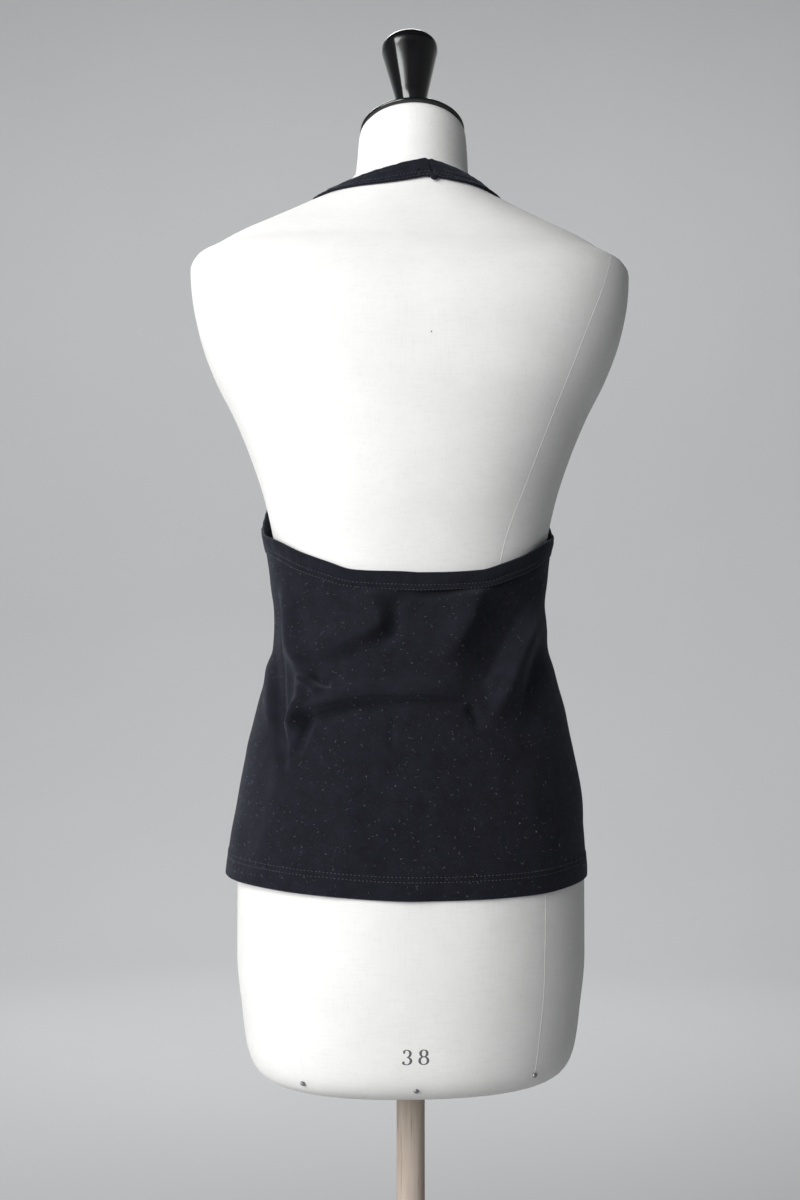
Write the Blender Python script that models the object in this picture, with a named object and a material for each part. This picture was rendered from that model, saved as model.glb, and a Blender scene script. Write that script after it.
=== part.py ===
"""A halter neck top worn by a limbless dress form on a turned wooden stand.

Frame: metres, +Z up, origin on the floor under the pole.  The top's front faces -Y and
the wearer's left is +X.  A place on the cloth is a turn in degrees round the form (0 at
the left side seam, 90 at the centre back, -90 at the centre front) and a height above
the underside of the form.
"""
from collections import namedtuple
from math import atan2, ceil, copysign, cos, degrees, exp, pi, radians, sin, tau

import bmesh
import bpy
import numpy as np
from mathutils import Matrix, Vector

# ---------------------------------------------------------------- driving dimensions
FORM_FOOT = 0.680          # underside of the form above the floor
GAP = 0.0003               # between neighbouring pieces
SEAM_GAP = 0.0006          # between a band's line and the panel's edge line
END_GAP = 0.0012           # between the armhole bands' ends and the neck band
RING_POINTS = 44           # round the form
RING_SPACING = 0.026       # most height between two rings of the form
NECK_TILT = radians(18.0)  # of the neck's top, towards the front
NECK_TILT_FROM = 0.770
NECK_TILT_TO = 0.825
NECK_LEAN = 0.013          # how far forward the neck's top stands
NECK_ASIDE = 0.003         # and how far to its right

CLOTH = 0.0011             # single jersey
HEM_CLOTH = 0.0017         # turned-up hem
BAND_CLOTH = 0.0022        # folded bands
HEM_DEPTH = 0.0195
HEM_STEP = 0.001           # over which the hem's thickness ends
EDGE_BAND = 0.016          # width of the back and armhole bands
NECK_BAND = 0.020          # behind the neck
NECK_NARROWING = 0.25      # share of its width that the neck band loses
NARROW_FROM = 90           # turns between which it does
NARROW_TO = 30
SEAM_TURN = 0.03           # each panel stops this many degrees short of a side seam
LEAST_EASE = 0.0010        # nearest that a fold comes to the form

CAP_RADIUS = 0.0480
CAP_THICKNESS = 0.0035
CAP_ROUNDING = 1 / 3       # share of its thickness that is the radius of its rim
FINIAL_LENGTH = 0.098
POLE_RADIUS = 0.0125
BASE_RADIUS = 0.180
BASE_THICKNESS = 0.025
HUB_RADIUS = 0.030
HUB_HEIGHT = 0.018
NAIL_RADIUS = 0.0024
NAIL_FLATTENING = 0.8      # of a nail's dome
HUB_CHAMFER = 0.004

SMALL_STEP = 0.001         # to each side of a place, for the slope there
PLACE_ROUNDS = 6           # of correction, to find a point's place by the cloth
SHARP_ANGLE = radians(40)  # from which an edge is shaded sharp

# Points round each turned piece.
CAP_POINTS = 44
FINIAL_POINTS = 32
BASE_POINTS = 56
POLE_POINTS = 28
NAIL_POINTS = 10
DOME_POINTS = 4            # from a nail's top down its side

# ---------------------------------------------------------------- tables
# Half-widths of the form's sections: to each side, to the back and to the front.
FormRow = namedtuple("FormRow", "height side back front power")
FORM_ROWS = (
    FormRow(0.000, 0.1100, 0.080, 0.074, 2.3),
    FormRow(0.004, 0.1245, 0.094, 0.088, 2.3),
    FormRow(0.012, 0.1355, 0.106, 0.097, 2.3),
    FormRow(0.022, 0.1412, 0.112, 0.101, 2.3),
    FormRow(0.036, 0.1450, 0.1155, 0.104, 2.3),
    FormRow(0.060, 0.1482, 0.119, 0.106, 2.3),
    FormRow(0.110, 0.1530, 0.124, 0.108, 2.3),
    FormRow(0.170, 0.1530, 0.126, 0.110, 2.3),
    FormRow(0.240, 0.1492, 0.120, 0.112, 2.3),
    FormRow(0.285, 0.1425, 0.109, 0.110, 2.3),
    FormRow(0.330, 0.1315, 0.095, 0.105, 2.3),
    FormRow(0.375, 0.1190, 0.083, 0.098, 2.3),
    FormRow(0.410, 0.1155, 0.077, 0.094, 2.3),
    FormRow(0.440, 0.1170, 0.078, 0.093, 2.3),
    FormRow(0.478, 0.1235, 0.084, 0.094, 2.3),
    FormRow(0.510, 0.1310, 0.091, 0.098, 2.3),
    FormRow(0.546, 0.1430, 0.097, 0.101, 2.35),
    FormRow(0.582, 0.1580, 0.101, 0.101, 2.4),
    FormRow(0.618, 0.1760, 0.104, 0.098, 2.5),
    FormRow(0.654, 0.1890, 0.104, 0.092, 2.6),
    FormRow(0.690, 0.1960, 0.099, 0.082, 2.7),
    FormRow(0.712, 0.1975, 0.090, 0.070, 2.7),
    FormRow(0.724, 0.1920, 0.083, 0.063, 2.6),
    FormRow(0.733, 0.1770, 0.077, 0.057, 2.5),
    FormRow(0.746, 0.1560, 0.070, 0.052, 2.4),
    FormRow(0.758, 0.1310, 0.064, 0.050, 2.3),
    FormRow(0.773, 0.0990, 0.058, 0.046, 2.2),
    FormRow(0.785, 0.0720, 0.055, 0.044, 2.1),
    FormRow(0.795, 0.0600, 0.052, 0.043, 2.0),
    FormRow(0.805, 0.0520, 0.050, 0.042, 2.0),
    FormRow(0.825, 0.0505, 0.049, 0.042, 2.0),
    FormRow(0.842, 0.0492, 0.048, 0.042, 2.0),
    FormRow(0.847, 0.0480, 0.047, 0.041, 2.0),
    FormRow(0.8495, 0.0455, 0.0445, 0.039, 2.0),
)

# How far the cloth's inner face stands off the form, to each way.
EaseRow = namedtuple("EaseRow", "height left right back front")
EASE_ROWS = (
    EaseRow(0.170, 0.0100, 0.0010, 0.0020, 0.0030),
    EaseRow(0.210, 0.0070, 0.0010, 0.0025, 0.0030),
    EaseRow(0.250, 0.0035, 0.0012, 0.0035, 0.0030),
    EaseRow(0.290, 0.0025, 0.0014, 0.0060, 0.0040),
    EaseRow(0.330, 0.0025, 0.0020, 0.0120, 0.0050),
    EaseRow(0.370, 0.0030, 0.0040, 0.0140, 0.0060),
    EaseRow(0.410, 0.0060, 0.0040, 0.0100, 0.0050),
    EaseRow(0.440, 0.0080, 0.0050, 0.0045, 0.0040),
    EaseRow(0.478, 0.0075, 0.0035, 0.0015, 0.0035),
    EaseRow(0.520, 0.0030, 0.0025, 0.0015, 0.0020),
    EaseRow(0.580, 0.0018, 0.0018, 0.0018, 0.0018),
    EaseRow(0.730, 0.0020, 0.0020, 0.0020, 0.0020),
    EaseRow(0.770, 0.0028, 0.0028, 0.0020, 0.0028),
    EaseRow(0.820, 0.0028, 0.0028, 0.0020, 0.0028),
)

# The bust as two soft mounds; the cloth bridges the hollow between and below them.
BUST_SIDE = 0.075
BUST_HEIGHT = 0.525
BUST_LIFT = 0.027
BUST_WIDTH = 0.045
BUST_ABOVE = 0.070
BUST_BELOW = 0.045
CLOTH_BELOW = 0.075
CLOTH_BRIDGE = 0.85        # of the lift, left at the centre front

# Lower edge of the top, all round; it rises where the side flares out.
Station = namedtuple("Station", "turn height")
HEM_ROWS = (
    Station(-180, 0.1790),
    Station(-90, 0.1750),
    Station(-30, 0.1785),
    Station(0, 0.1800),
    Station(30, 0.1790),
    Station(60, 0.1755),
    Station(90, 0.1715),
    Station(120, 0.1725),
    Station(150, 0.1765),
    Station(180, 0.1790),
)
# Upper edge of the top on the left half, from the centre back round to the shoulder.
EDGE_ROWS = (
    Station(90, 0.4390),
    Station(67, 0.4425),
    Station(56, 0.4490),
    Station(43, 0.4570),
    Station(26, 0.4686),
    Station(0, 0.4805),
    Station(-14, 0.4960),
    Station(-25, 0.5160),
    Station(-37, 0.5450),
    Station(-48, 0.5840),
    Station(-57, 0.6250),
    Station(-63, 0.6700),
    Station(-65, 0.7100),
    Station(-60, 0.7480),
    Station(-52, 0.7560),
)
# Middle of the neck band on the left half, from the centre back to the centre front.
NECK_ROWS = (
    Station(90, 0.7900),
    Station(60, 0.7872),
    Station(30, 0.7845),
    Station(0, 0.7812),
    Station(-25, 0.7772),
    Station(-51, 0.7650),
    Station(-66, 0.7450),
    Station(-75, 0.7250),
    Station(-82, 0.7050),
    Station(-87, 0.6920),
    Station(-90, 0.6880),
)

# Folds, as soft ridges (+) and troughs (-) along a line across a panel.
Fold = namedtuple("Fold", "from_x from_height to_x to_height width lift")
BACK_FOLDS = (
    Fold(0.098, 0.314, 0.060, 0.330, 0.0090, -0.0040),
    Fold(0.060, 0.330, -0.056, 0.330, 0.0090, -0.0045),
    Fold(0.060, 0.348, -0.030, 0.352, 0.0120, 0.0045),
    Fold(0.045, 0.416, 0.096, 0.371, 0.0120, -0.0035),
    Fold(-0.064, 0.410, -0.025, 0.374, 0.0090, 0.0045),
    Fold(-0.080, 0.382, -0.056, 0.330, 0.0080, -0.0035),
    Fold(-0.098, 0.393, -0.060, 0.312, 0.0080, 0.0040),
    Fold(0.119, 0.444, 0.109, 0.283, 0.0080, -0.0035),
    Fold(0.108, 0.425, 0.098, 0.302, 0.0080, 0.0035),
)
FRONT_FOLDS = (
    Fold(0.100, 0.450, 0.045, 0.395, 0.0110, 0.0030),
    Fold(-0.102, 0.456, -0.052, 0.405, 0.0110, 0.0030),
    Fold(0.070, 0.332, -0.020, 0.342, 0.0100, 0.0030),
    Fold(0.095, 0.320, 0.020, 0.326, 0.0090, -0.0025),
    Fold(-0.086, 0.378, -0.040, 0.352, 0.0090, 0.0030),
)
FOLD_TAPER = 0.020         # over which a fold dies away past each end

# Grids of the panels and stations of the bands.
BACK_COLUMNS = 36
FRONT_COLUMNS = 32
SEAM_ROWS = 13             # up a side seam, over the hem
ARMHOLE_ROWS = 15          # up an armhole, on the front panel and on its band
BACK_ROWS = 23
NECK_STATIONS = 56
DENSE = 1000               # stations of a line before it is thinned

# Across a band: part of the width, and part of the thickness above the inner face.
BandCorner = namedtuple("BandCorner", "across above")
BAND_SECTION = (
    BandCorner(0.00, 0.5),
    BandCorner(0.07, 1.0),
    BandCorner(0.50, 1.0),
    BandCorner(0.93, 1.0),
    BandCorner(1.00, 0.5),
    BandCorner(0.93, 0.0),
    BandCorner(0.50, 0.0),
    BandCorner(0.07, 0.0),
)

# Nails, by their distance to the left of the centre line and above the form's underside.
Nail = namedtuple("Nail", "name across height")
NAILS = (
    Nail("nail_back_centre", 0.0045, 0.0150),
    Nail("nail_back_left", 0.0960, 0.0170),
    Nail("nail_back_right", -0.0960, 0.0204),
    Nail("nail_front_centre", 0.0000, 0.0170),
    Nail("nail_front_left", 0.0960, 0.0170),
    Nail("nail_front_right", -0.0960, 0.0170),
)

# Turned pieces, from the top down the outer side.
Turn = namedtuple("Turn", "radius height")
FINIAL_PROFILE = (
    Turn(0.0000, 1.000),
    Turn(0.0150, 0.996),
    Turn(0.0215, 0.986),
    Turn(0.0250, 0.968),
    Turn(0.0262, 0.944),
    Turn(0.0262, 0.915),
    Turn(0.0251, 0.860),
    Turn(0.0146, 0.365),
    Turn(0.0092, 0.080),
    Turn(0.0095, 0.000),
    Turn(0.0000, 0.000),
)


# ---------------------------------------------------------------- smooth reading of tables
def interpolator(rows):
    """Return a function that reads a table's other columns smoothly at a first-column value."""
    table = np.array(rows, dtype=float)
    keys, values = table[:, 0], table[:, 1:]
    steps = np.diff(keys)[:, None]
    rises = np.diff(values, axis=0) / steps
    slopes = np.vstack((rises[:1], np.zeros_like(rises[1:]), rises[-1:]))
    same_way = rises[:-1] * rises[1:] > 0
    total = np.where(same_way, rises[:-1] + rises[1:], 1.0)
    slopes[1:-1] = np.where(same_way, 2 * rises[:-1] * rises[1:] / total, 0.0)

    def read(key):
        key = min(max(key, keys[0]), keys[-1])
        k = min(int(np.searchsorted(keys, key, side="right")) - 1, len(steps) - 1)
        part = (key - keys[k]) / steps[k, 0]
        start = values[k] * (1 + 2 * part) * (1 - part) ** 2
        end = values[k + 1] * (3 - 2 * part) * part ** 2
        bend = slopes[k] * part * (1 - part) ** 2 - slopes[k + 1] * part ** 2 * (1 - part)
        return start + end + bend * steps[k, 0]

    return read


form_at = interpolator(FORM_ROWS)
ease_at = interpolator(EASE_ROWS)
hem_at = interpolator(HEM_ROWS)


# ---------------------------------------------------------------- the form's and the cloth's surfaces
def neck_tip(height):
    """Return the tilt of a section and how far forward and to the right it stands."""
    part = min(max((height - NECK_TILT_FROM) / (NECK_TILT_TO - NECK_TILT_FROM), 0.0), 1.0)
    return NECK_TILT * part, NECK_LEAN * part, NECK_ASIDE * part


def placed(x, y, height):
    """Put a section's point in the frame, tipped forward with the neck."""
    tilt, lean, aside = neck_tip(height)
    return Vector((x - aside, y * cos(tilt) - lean, FORM_FOOT + height + y * sin(tilt)))


def section(turn, side, depth, power):
    """Return the point of a rounded section at a turn."""
    across = abs(cos(turn)) ** (2 / power) * side
    along = abs(sin(turn)) ** (2 / power) * depth
    return copysign(across, cos(turn)), copysign(along, sin(turn))


def bell(distance, width):
    """Return 1 at no distance, falling off softly."""
    return exp(-(distance / width) ** 2)


def bust_lift(x, height, below, bridge):
    """Return how far the bust stands out, over mounds that a bridge may join."""
    rise = height - BUST_HEIGHT
    level = bell(rise, BUST_ABOVE if rise > 0 else below)
    if bridge and abs(x) < BUST_SIDE:
        spread = 1 - (1 - bridge) * cos(x / BUST_SIDE * pi / 2) ** 2
    else:
        spread = bell(x - BUST_SIDE, BUST_WIDTH) + bell(x + BUST_SIDE, BUST_WIDTH)
    return BUST_LIFT * level * spread


def form_point(turn, height):
    """Return a point of the form's surface."""
    side, back, front, power = form_at(height)
    angle = radians(turn)
    x, y = section(angle, side, back if sin(angle) > 0 else front, power)
    if y < 0:
        y -= bust_lift(x, height, BUST_BELOW, 0) * sin(angle) ** 2
    return placed(x, y, height)


def cloth_section(turn, height):
    """Return the half-widths and power of the cloth's inner face on a turn's quarter."""
    side, back, front, power = form_at(height)
    left, right, behind, ahead = ease_at(height)
    side += left if cos(turn) > 0 else right
    depth = back + behind if sin(turn) > 0 else front + ahead
    return side, depth, power


def cloth_point(turn, height):
    """Return a point of the cloth's inner face, without its folds."""
    angle = radians(turn)
    x, y = section(angle, *cloth_section(angle, height))
    if y < 0:
        y -= bust_lift(x, height, CLOTH_BELOW, CLOTH_BRIDGE) * sin(angle) ** 2
    return placed(x, y, height)


def cloth_normal(turn, height):
    """Return the cloth's outward direction."""
    round_form = cloth_point(turn + 1, height) - cloth_point(turn - 1, height)
    up_form = cloth_point(turn, height + SMALL_STEP) - cloth_point(turn, height - SMALL_STEP)
    return round_form.cross(up_form).normalized()


def cloth_place(point, near):
    """Return the turn, counted on from a near one, and the height of a point by the cloth."""
    height = point.z - FORM_FOOT
    turn = near
    for _ in range(PLACE_ROUNDS):
        tilt, lean, aside = neck_tip(height)
        x = point.x + aside
        y = (point.y + lean) / cos(tilt)
        height = point.z - FORM_FOOT - y * sin(tilt)
        angle = radians(turn)
        side, depth, power = cloth_section(angle, height)
        if sin(angle) < 0:
            y += bust_lift(x, height, CLOTH_BELOW, CLOTH_BRIDGE) * sin(angle) ** 2
        across = copysign(abs(x / side) ** (power / 2), x)
        along = copysign(abs(y / depth) ** (power / 2), y)
        turn = degrees(atan2(along, across))
    return turn + 360 * round((near - turn) / 360), height


# ---------------------------------------------------------------- lines along the cloth
def lengths(line):
    """Return the distance along a line of turns and heights, at each of its stations."""
    points = [cloth_point(*station) for station in line]
    steps = [(b - a).length for a, b in zip(points, points[1:])]
    return np.concatenate(((0.0,), np.cumsum(steps)))


def evened(line, count):
    """Spread a line's stations evenly."""
    line = np.array(line, dtype=float)
    reach = lengths(line)
    stops = np.linspace(0, reach[-1], count)
    return np.column_stack([np.interp(stops, reach, line[:, k]) for k in range(2)])


def line_through(rows):
    """Return many stations on a smooth line through a table's rows."""
    reach = lengths(rows)
    read = interpolator([(r, *row) for r, row in zip(reach, rows)])
    return evened([read(stop) for stop in np.linspace(0, reach[-1], DENSE)], DENSE)


def shifted(line, distance):
    """Move a line along the cloth, to the hand that is down on the back and out from the neck.

    The distance is one for the whole line, or one for each of its stations.
    """
    points = [cloth_point(*station) for station in line]
    moved = []
    for k, ((turn, height), apart) in enumerate(zip(line, np.broadcast_to(distance, len(line)))):
        ahead = points[min(k + 1, len(points) - 1)] - points[max(k - 1, 0)]
        aside = cloth_normal(turn, height).cross(ahead).normalized()
        moved.append(cloth_place(points[k] + aside * float(apart), turn))
    return np.array(moved)


def neck_half(line):
    """Return half the neck band's width at each station: full behind, less at the sides."""
    part = np.clip((line[:, 0] - NARROW_TO) / (NARROW_FROM - NARROW_TO), 0.0, 1.0)
    full = part * part * (3 - 2 * part)
    return NECK_BAND / 2 * (1 - NECK_NARROWING * (1 - full))


def mirrored(line):
    """Return a line's mirror image on the other half of the top, read the other way."""
    return np.array([(180 - turn, height) for turn, height in line])[::-1]


def front_half(line):
    """Return the part of a line on the front panel's side of the side seam."""
    return line[line[:, 0] < -SEAM_TURN]


def back_half(line):
    """Return the part of a line on the back panel's side of the side seam."""
    return line[line[:, 0] > SEAM_TURN]


def crossing(line, other):
    """Return the indices where two lines come nearest to each other."""
    here = np.array([cloth_point(*station) for station in line])
    there = np.array([cloth_point(*station) for station in other])
    apart = np.linalg.norm(here[:, None] - there[None, :], axis=2)
    return np.unravel_index(np.argmin(apart), apart.shape)


# ---------------------------------------------------------------- folds
def along_fold(fold, x, height):
    """Return how much of a fold's lift reaches a place."""
    run_x = fold.to_x - fold.from_x
    run_z = fold.to_height - fold.from_height
    run = (run_x ** 2 + run_z ** 2) ** 0.5
    off_x = x - fold.from_x
    off_z = height - fold.from_height
    along = (off_x * run_x + off_z * run_z) / run
    aside = (off_x * run_z - off_z * run_x) / run
    past = max(-along, along - run, 0.0)
    return fold.lift * bell(aside, fold.width) * bell(past, FOLD_TAPER)


def fold_lift(turn, height, folds):
    """Return the folds' whole lift at a place, kept clear of the form."""
    point = cloth_point(turn, height)
    lift = sum(along_fold(fold, point.x, height) for fold in folds)
    left, right, behind, ahead = ease_at(height)
    angle = radians(turn)
    side = left if cos(angle) > 0 else right
    depth = behind if sin(angle) > 0 else ahead
    room = side * cos(angle) ** 2 + depth * sin(angle) ** 2 - LEAST_EASE
    return max(lift, -max(room, 0.0))


# ---------------------------------------------------------------- mesh making
def finish(name, colour, roughness, metallic=0.0):
    """Return a material."""
    material = bpy.data.materials.new(name)
    material.use_nodes = True
    shader = material.node_tree.nodes["Principled BSDF"]
    shader.inputs["Base Color"].default_value = (*colour, 1.0)
    shader.inputs["Roughness"].default_value = roughness
    shader.inputs["Metallic"].default_value = metallic
    return material


def add_part(name, shape, material):
    """Turn a bmesh into a named object with its material, shaded smooth."""
    mesh = bpy.data.meshes.new(name)
    shape.to_mesh(mesh)
    shape.free()
    mesh.materials.append(material)
    mesh.shade_smooth()
    mesh.set_sharp_from_angle(angle=SHARP_ANGLE)
    part = bpy.data.objects.new(name, mesh)
    bpy.context.scene.collection.objects.link(part)
    return part


def loft(rings):
    """Join rings of points one to the next, close both ends and face the walls outwards."""
    shape = bmesh.new()
    loops = [[shape.verts.new(point) for point in ring] for ring in rings]
    for lower, upper in zip(loops, loops[1:]):
        for k in range(len(lower)):
            after = (k + 1) % len(lower)
            shape.faces.new((lower[k], lower[after], upper[after], upper[k]))
    shape.faces.new(reversed(loops[0]))
    shape.faces.new(loops[-1])
    bmesh.ops.recalc_face_normals(shape, faces=shape.faces)
    return shape


def turned(profile, segments):
    """Spin a profile about +Z; it is listed from the top down its outer side."""
    shape = bmesh.new()
    points = [shape.verts.new((stop.radius, 0, stop.height)) for stop in profile]
    edges = [shape.edges.new(pair) for pair in zip(points, points[1:])]
    bmesh.ops.spin(shape, geom=points + edges, cent=(0, 0, 0), axis=(0, 0, 1),
                   angle=tau, steps=segments, use_merge=True)
    bmesh.ops.remove_doubles(shape, verts=shape.verts, dist=1e-6)
    bmesh.ops.recalc_face_normals(shape, faces=shape.faces)
    return shape


def on_axis(origin, axis):
    """Return the matrix that stands a turned piece at an origin along an axis."""
    return Matrix.Translation(origin) @ axis.to_track_quat("Z", "Y").to_matrix().to_4x4()


# ---------------------------------------------------------------- the garment
def add_panel(name, grid, folds, material):
    """Make a panel's wall on a grid of turns and heights, thicker at the turned-up hem."""
    shape = bmesh.new()
    rows = []
    for line in grid:
        row = []
        for turn, height in line:
            lift = fold_lift(turn, height, folds)
            row.append(shape.verts.new(cloth_point(turn, height) + cloth_normal(turn, height) * lift))
        rows.append(row)
    for lower, upper in zip(rows, rows[1:]):
        for k in range(len(lower) - 1):
            shape.faces.new((lower[k], lower[k + 1], upper[k + 1], upper[k]))
    panel = add_part(name, shape, material)
    thick = panel.vertex_groups.new(name="cloth")
    hem_points = 2 * len(grid[0])
    thick.add(list(range(hem_points)), 1.0, "REPLACE")
    thick.add(list(range(hem_points, len(panel.data.vertices))), CLOTH / HEM_CLOTH, "REPLACE")
    wall = panel.modifiers.new("wall", "SOLIDIFY")
    wall.thickness = HEM_CLOTH
    wall.offset = 1.0
    wall.vertex_group = "cloth"
    return panel


def heights_up(turn, top, count):
    """Return heights up a panel: the hem's edge, both sides of its step, then even ones."""
    edge = hem_at(turn)[0]
    hem_top = edge + HEM_DEPTH
    return np.concatenate(((edge, hem_top), np.linspace(hem_top + HEM_STEP, top, count - 2)))


def add_back_panel(top_line, material):
    """Make the back from the hem to the back band."""
    top = evened(top_line, BACK_COLUMNS + 1)
    columns = [heights_up(turn, height, BACK_ROWS) for turn, height in top]
    grid = [[(turn, column[row]) for (turn, _), column in zip(top, columns)]
            for row in range(BACK_ROWS)]
    return add_panel("back_panel", grid, BACK_FOLDS, material)


def add_front_panel(armhole_line, neck_line, material):
    """Make the front, bounded by the side seams, the armholes and the neckline."""
    seam_foot, seam_top = hem_at(0)[0], armhole_line[0][1]
    seam = [(-SEAM_TURN, height) for height in heights_up(0, seam_top, SEAM_ROWS)]
    edge = np.vstack((seam, evened(armhole_line, ARMHOLE_ROWS + 1)[1:]))
    neck = evened(np.vstack((mirror_front(neck_line), neck_line[1:])), FRONT_COLUMNS + 1)
    corner_turn, corner_height = neck[-1]
    grid = []
    for climb, (edge_turn, edge_height) in zip(np.linspace(0, 1, len(edge)), edge):
        row = []
        for across, (neck_turn, neck_height) in zip(np.linspace(-1, 1, len(neck)), neck):
            bent = neck_turn + 90 - across * (corner_turn + 90)
            turn = -90 + across * (edge_turn + 90) + climb * bent
            dropped = hem_at(turn)[0] - seam_foot
            height = edge_height + climb * (neck_height - corner_height) + (1 - climb) * dropped
            row.append((turn, height))
        grid.append(row)
    return add_panel("front_panel", grid, FRONT_FOLDS, material)


def mirror_front(line):
    """Mirror a line that starts at the centre front, so that it ends there."""
    return np.array([(-180 - turn, height) for turn, height in line])[::-1]


def add_band(name, outer, inner, stations, material):
    """Make a folded band between its two edges; it lies flat across a hollow."""
    outer = evened(outer, stations)
    inner = evened(inner, stations)
    rings = []
    for one, other in zip(outer, inner):
        start = cloth_point(*one)
        end = cloth_point(*other)
        ring = []
        for corner in BAND_SECTION:
            place = one + (other - one) * corner.across
            normal = cloth_normal(*place)
            chord = start.lerp(end, corner.across)
            rise = max((cloth_point(*place) - chord).dot(normal), 0.0)
            ring.append(chord + normal * (rise + BAND_CLOTH * corner.above))
        rings.append(ring)
    return add_part(name, loft(rings), material)


def add_garment(jersey):
    """Cut and join the top's pieces."""
    edge = line_through(EDGE_ROWS)
    edge_inner = shifted(edge, EDGE_BAND)
    edge_seam = shifted(edge, EDGE_BAND + SEAM_GAP)
    neck = line_through(NECK_ROWS)
    half = neck_half(neck)
    neck_upper = shifted(neck, -half)
    neck_lower = shifted(neck, half)
    neck_seam = shifted(neck, half + SEAM_GAP)
    neck_clear = shifted(neck, half + END_GAP)

    back_top = np.vstack((back_half(edge_seam)[::-1], mirrored(back_half(edge_seam)[::-1])[1:]))
    add_back_panel(back_top, jersey)

    armhole_end, neck_end = crossing(front_half(edge_seam), neck_seam)
    armhole_line = front_half(edge_seam)[:armhole_end + 1]
    neck_line = neck_seam[neck_end:][::-1]
    add_front_panel(armhole_line, neck_line, jersey)

    outer = back_half(edge)[::-1]
    inner = back_half(edge_inner)[::-1]
    add_band("back_band", np.vstack((outer, mirrored(outer)[1:])),
             np.vstack((inner, mirrored(inner)[1:])), BACK_COLUMNS + 1, jersey)

    outer = front_half(edge)
    outer = outer[:crossing(outer, neck_clear)[0]]
    inner = front_half(edge_inner)
    inner = inner[:crossing(inner, neck_clear)[0]]
    add_band("armhole_band_left", outer, inner, ARMHOLE_ROWS + 1, jersey)
    add_band("armhole_band_right", mirrored(outer), mirrored(inner), ARMHOLE_ROWS + 1, jersey)

    halves = []
    for line in (neck_upper, neck_lower):
        left = line[::-1]
        left = left + np.array((360.0, 0.0))
        right = np.array([(180 - turn, height) for turn, height in line])
        halves.append(np.vstack((right[1:], left[1:-1])))
    add_band("neck_band", halves[0], halves[1], NECK_STATIONS, jersey)


# ---------------------------------------------------------------- the form and its stand
def ring_heights():
    """Return the heights of the form's rings: the table's, and more where they lie far apart."""
    heights = [FORM_ROWS[0].height]
    for lower, upper in zip(FORM_ROWS, FORM_ROWS[1:]):
        count = ceil((upper.height - lower.height) / RING_SPACING)
        heights += list(np.linspace(lower.height, upper.height, count + 1)[1:])
    return heights


def add_form(linen):
    """Make the padded form as one closed body."""
    turns = np.linspace(0, 360, RING_POINTS, endpoint=False)
    rings = [[form_point(turn, height) for turn in turns] for height in ring_heights()]
    add_part("dress_form", loft(rings), linen)


def add_neck_top(lacquer):
    """Stand the turned cap and the finial on the tilted neck."""
    normal = Vector((0, -sin(NECK_TILT), cos(NECK_TILT)))
    seat = placed(0, 0, FORM_ROWS[-1].height) + normal * GAP
    edge = CAP_THICKNESS * CAP_ROUNDING
    bevel = edge * (1 - sin(radians(45)))
    profile = (
        Turn(0, CAP_THICKNESS),
        Turn(CAP_RADIUS - edge, CAP_THICKNESS),
        Turn(CAP_RADIUS - bevel, CAP_THICKNESS - bevel),
        Turn(CAP_RADIUS, CAP_THICKNESS - edge),
        Turn(CAP_RADIUS, edge),
        Turn(CAP_RADIUS - edge, 0),
        Turn(0, 0),
    )
    cap = add_part("neck_cap", turned(profile, CAP_POINTS), lacquer)
    cap.matrix_world = on_axis(seat, normal)
    profile = [Turn(stop.radius, stop.height * FINIAL_LENGTH) for stop in FINIAL_PROFILE]
    finial = add_part("neck_finial", turned(profile, FINIAL_POINTS), lacquer)
    finial.matrix_world = on_axis(seat + normal * (CAP_THICKNESS + GAP), normal)


def add_stand(wood):
    """Make the pole and its round foot."""
    edge = BASE_THICKNESS / 2
    round_edge = [Turn(BASE_RADIUS - edge + edge * cos(angle), edge + edge * sin(angle))
                  for angle in (radians(60), radians(30), 0, radians(-30), radians(-60))]
    hub_top = BASE_THICKNESS + HUB_HEIGHT
    profile = [Turn(0, hub_top), Turn(HUB_RADIUS - HUB_CHAMFER, hub_top)]
    profile += [Turn(HUB_RADIUS, hub_top - HUB_CHAMFER), Turn(HUB_RADIUS, BASE_THICKNESS)]
    profile.append(Turn(BASE_RADIUS - edge, BASE_THICKNESS))
    profile += round_edge + [Turn(BASE_RADIUS - edge, 0), Turn(0, 0)]
    add_part("stand_base", turned(profile, BASE_POINTS), wood)
    foot = hub_top + GAP
    top = FORM_FOOT - GAP
    profile = [Turn(0, top), Turn(POLE_RADIUS, top), Turn(POLE_RADIUS, foot), Turn(0, foot)]
    add_part("stand_pole", turned(profile, POLE_POINTS), wood)


def add_nails(steel):
    """Set a domed nail at the foot of each of the form's seams."""
    dome = [Turn(NAIL_RADIUS * sin(angle), NAIL_RADIUS * cos(angle) * NAIL_FLATTENING)
            for angle in np.linspace(0, pi / 2, DOME_POINTS)]
    dome.append(Turn(0, 0))
    for nail in NAILS:
        row = form_at(nail.height)
        side, power = row[0], row[3]
        turn = degrees(np.arccos(copysign(abs(nail.across / side) ** (power / 2), nail.across)))
        if "front" in nail.name:
            turn = -turn
        beside = form_point(turn + 1, nail.height) - form_point(turn - 1, nail.height)
        upward = form_point(turn, nail.height + SMALL_STEP) - form_point(turn, nail.height - SMALL_STEP)
        normal = beside.cross(upward).normalized()
        item = add_part(nail.name, turned(dome, NAIL_POINTS), steel)
        item.matrix_world = on_axis(form_point(turn, nail.height) + normal * GAP, normal)


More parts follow.
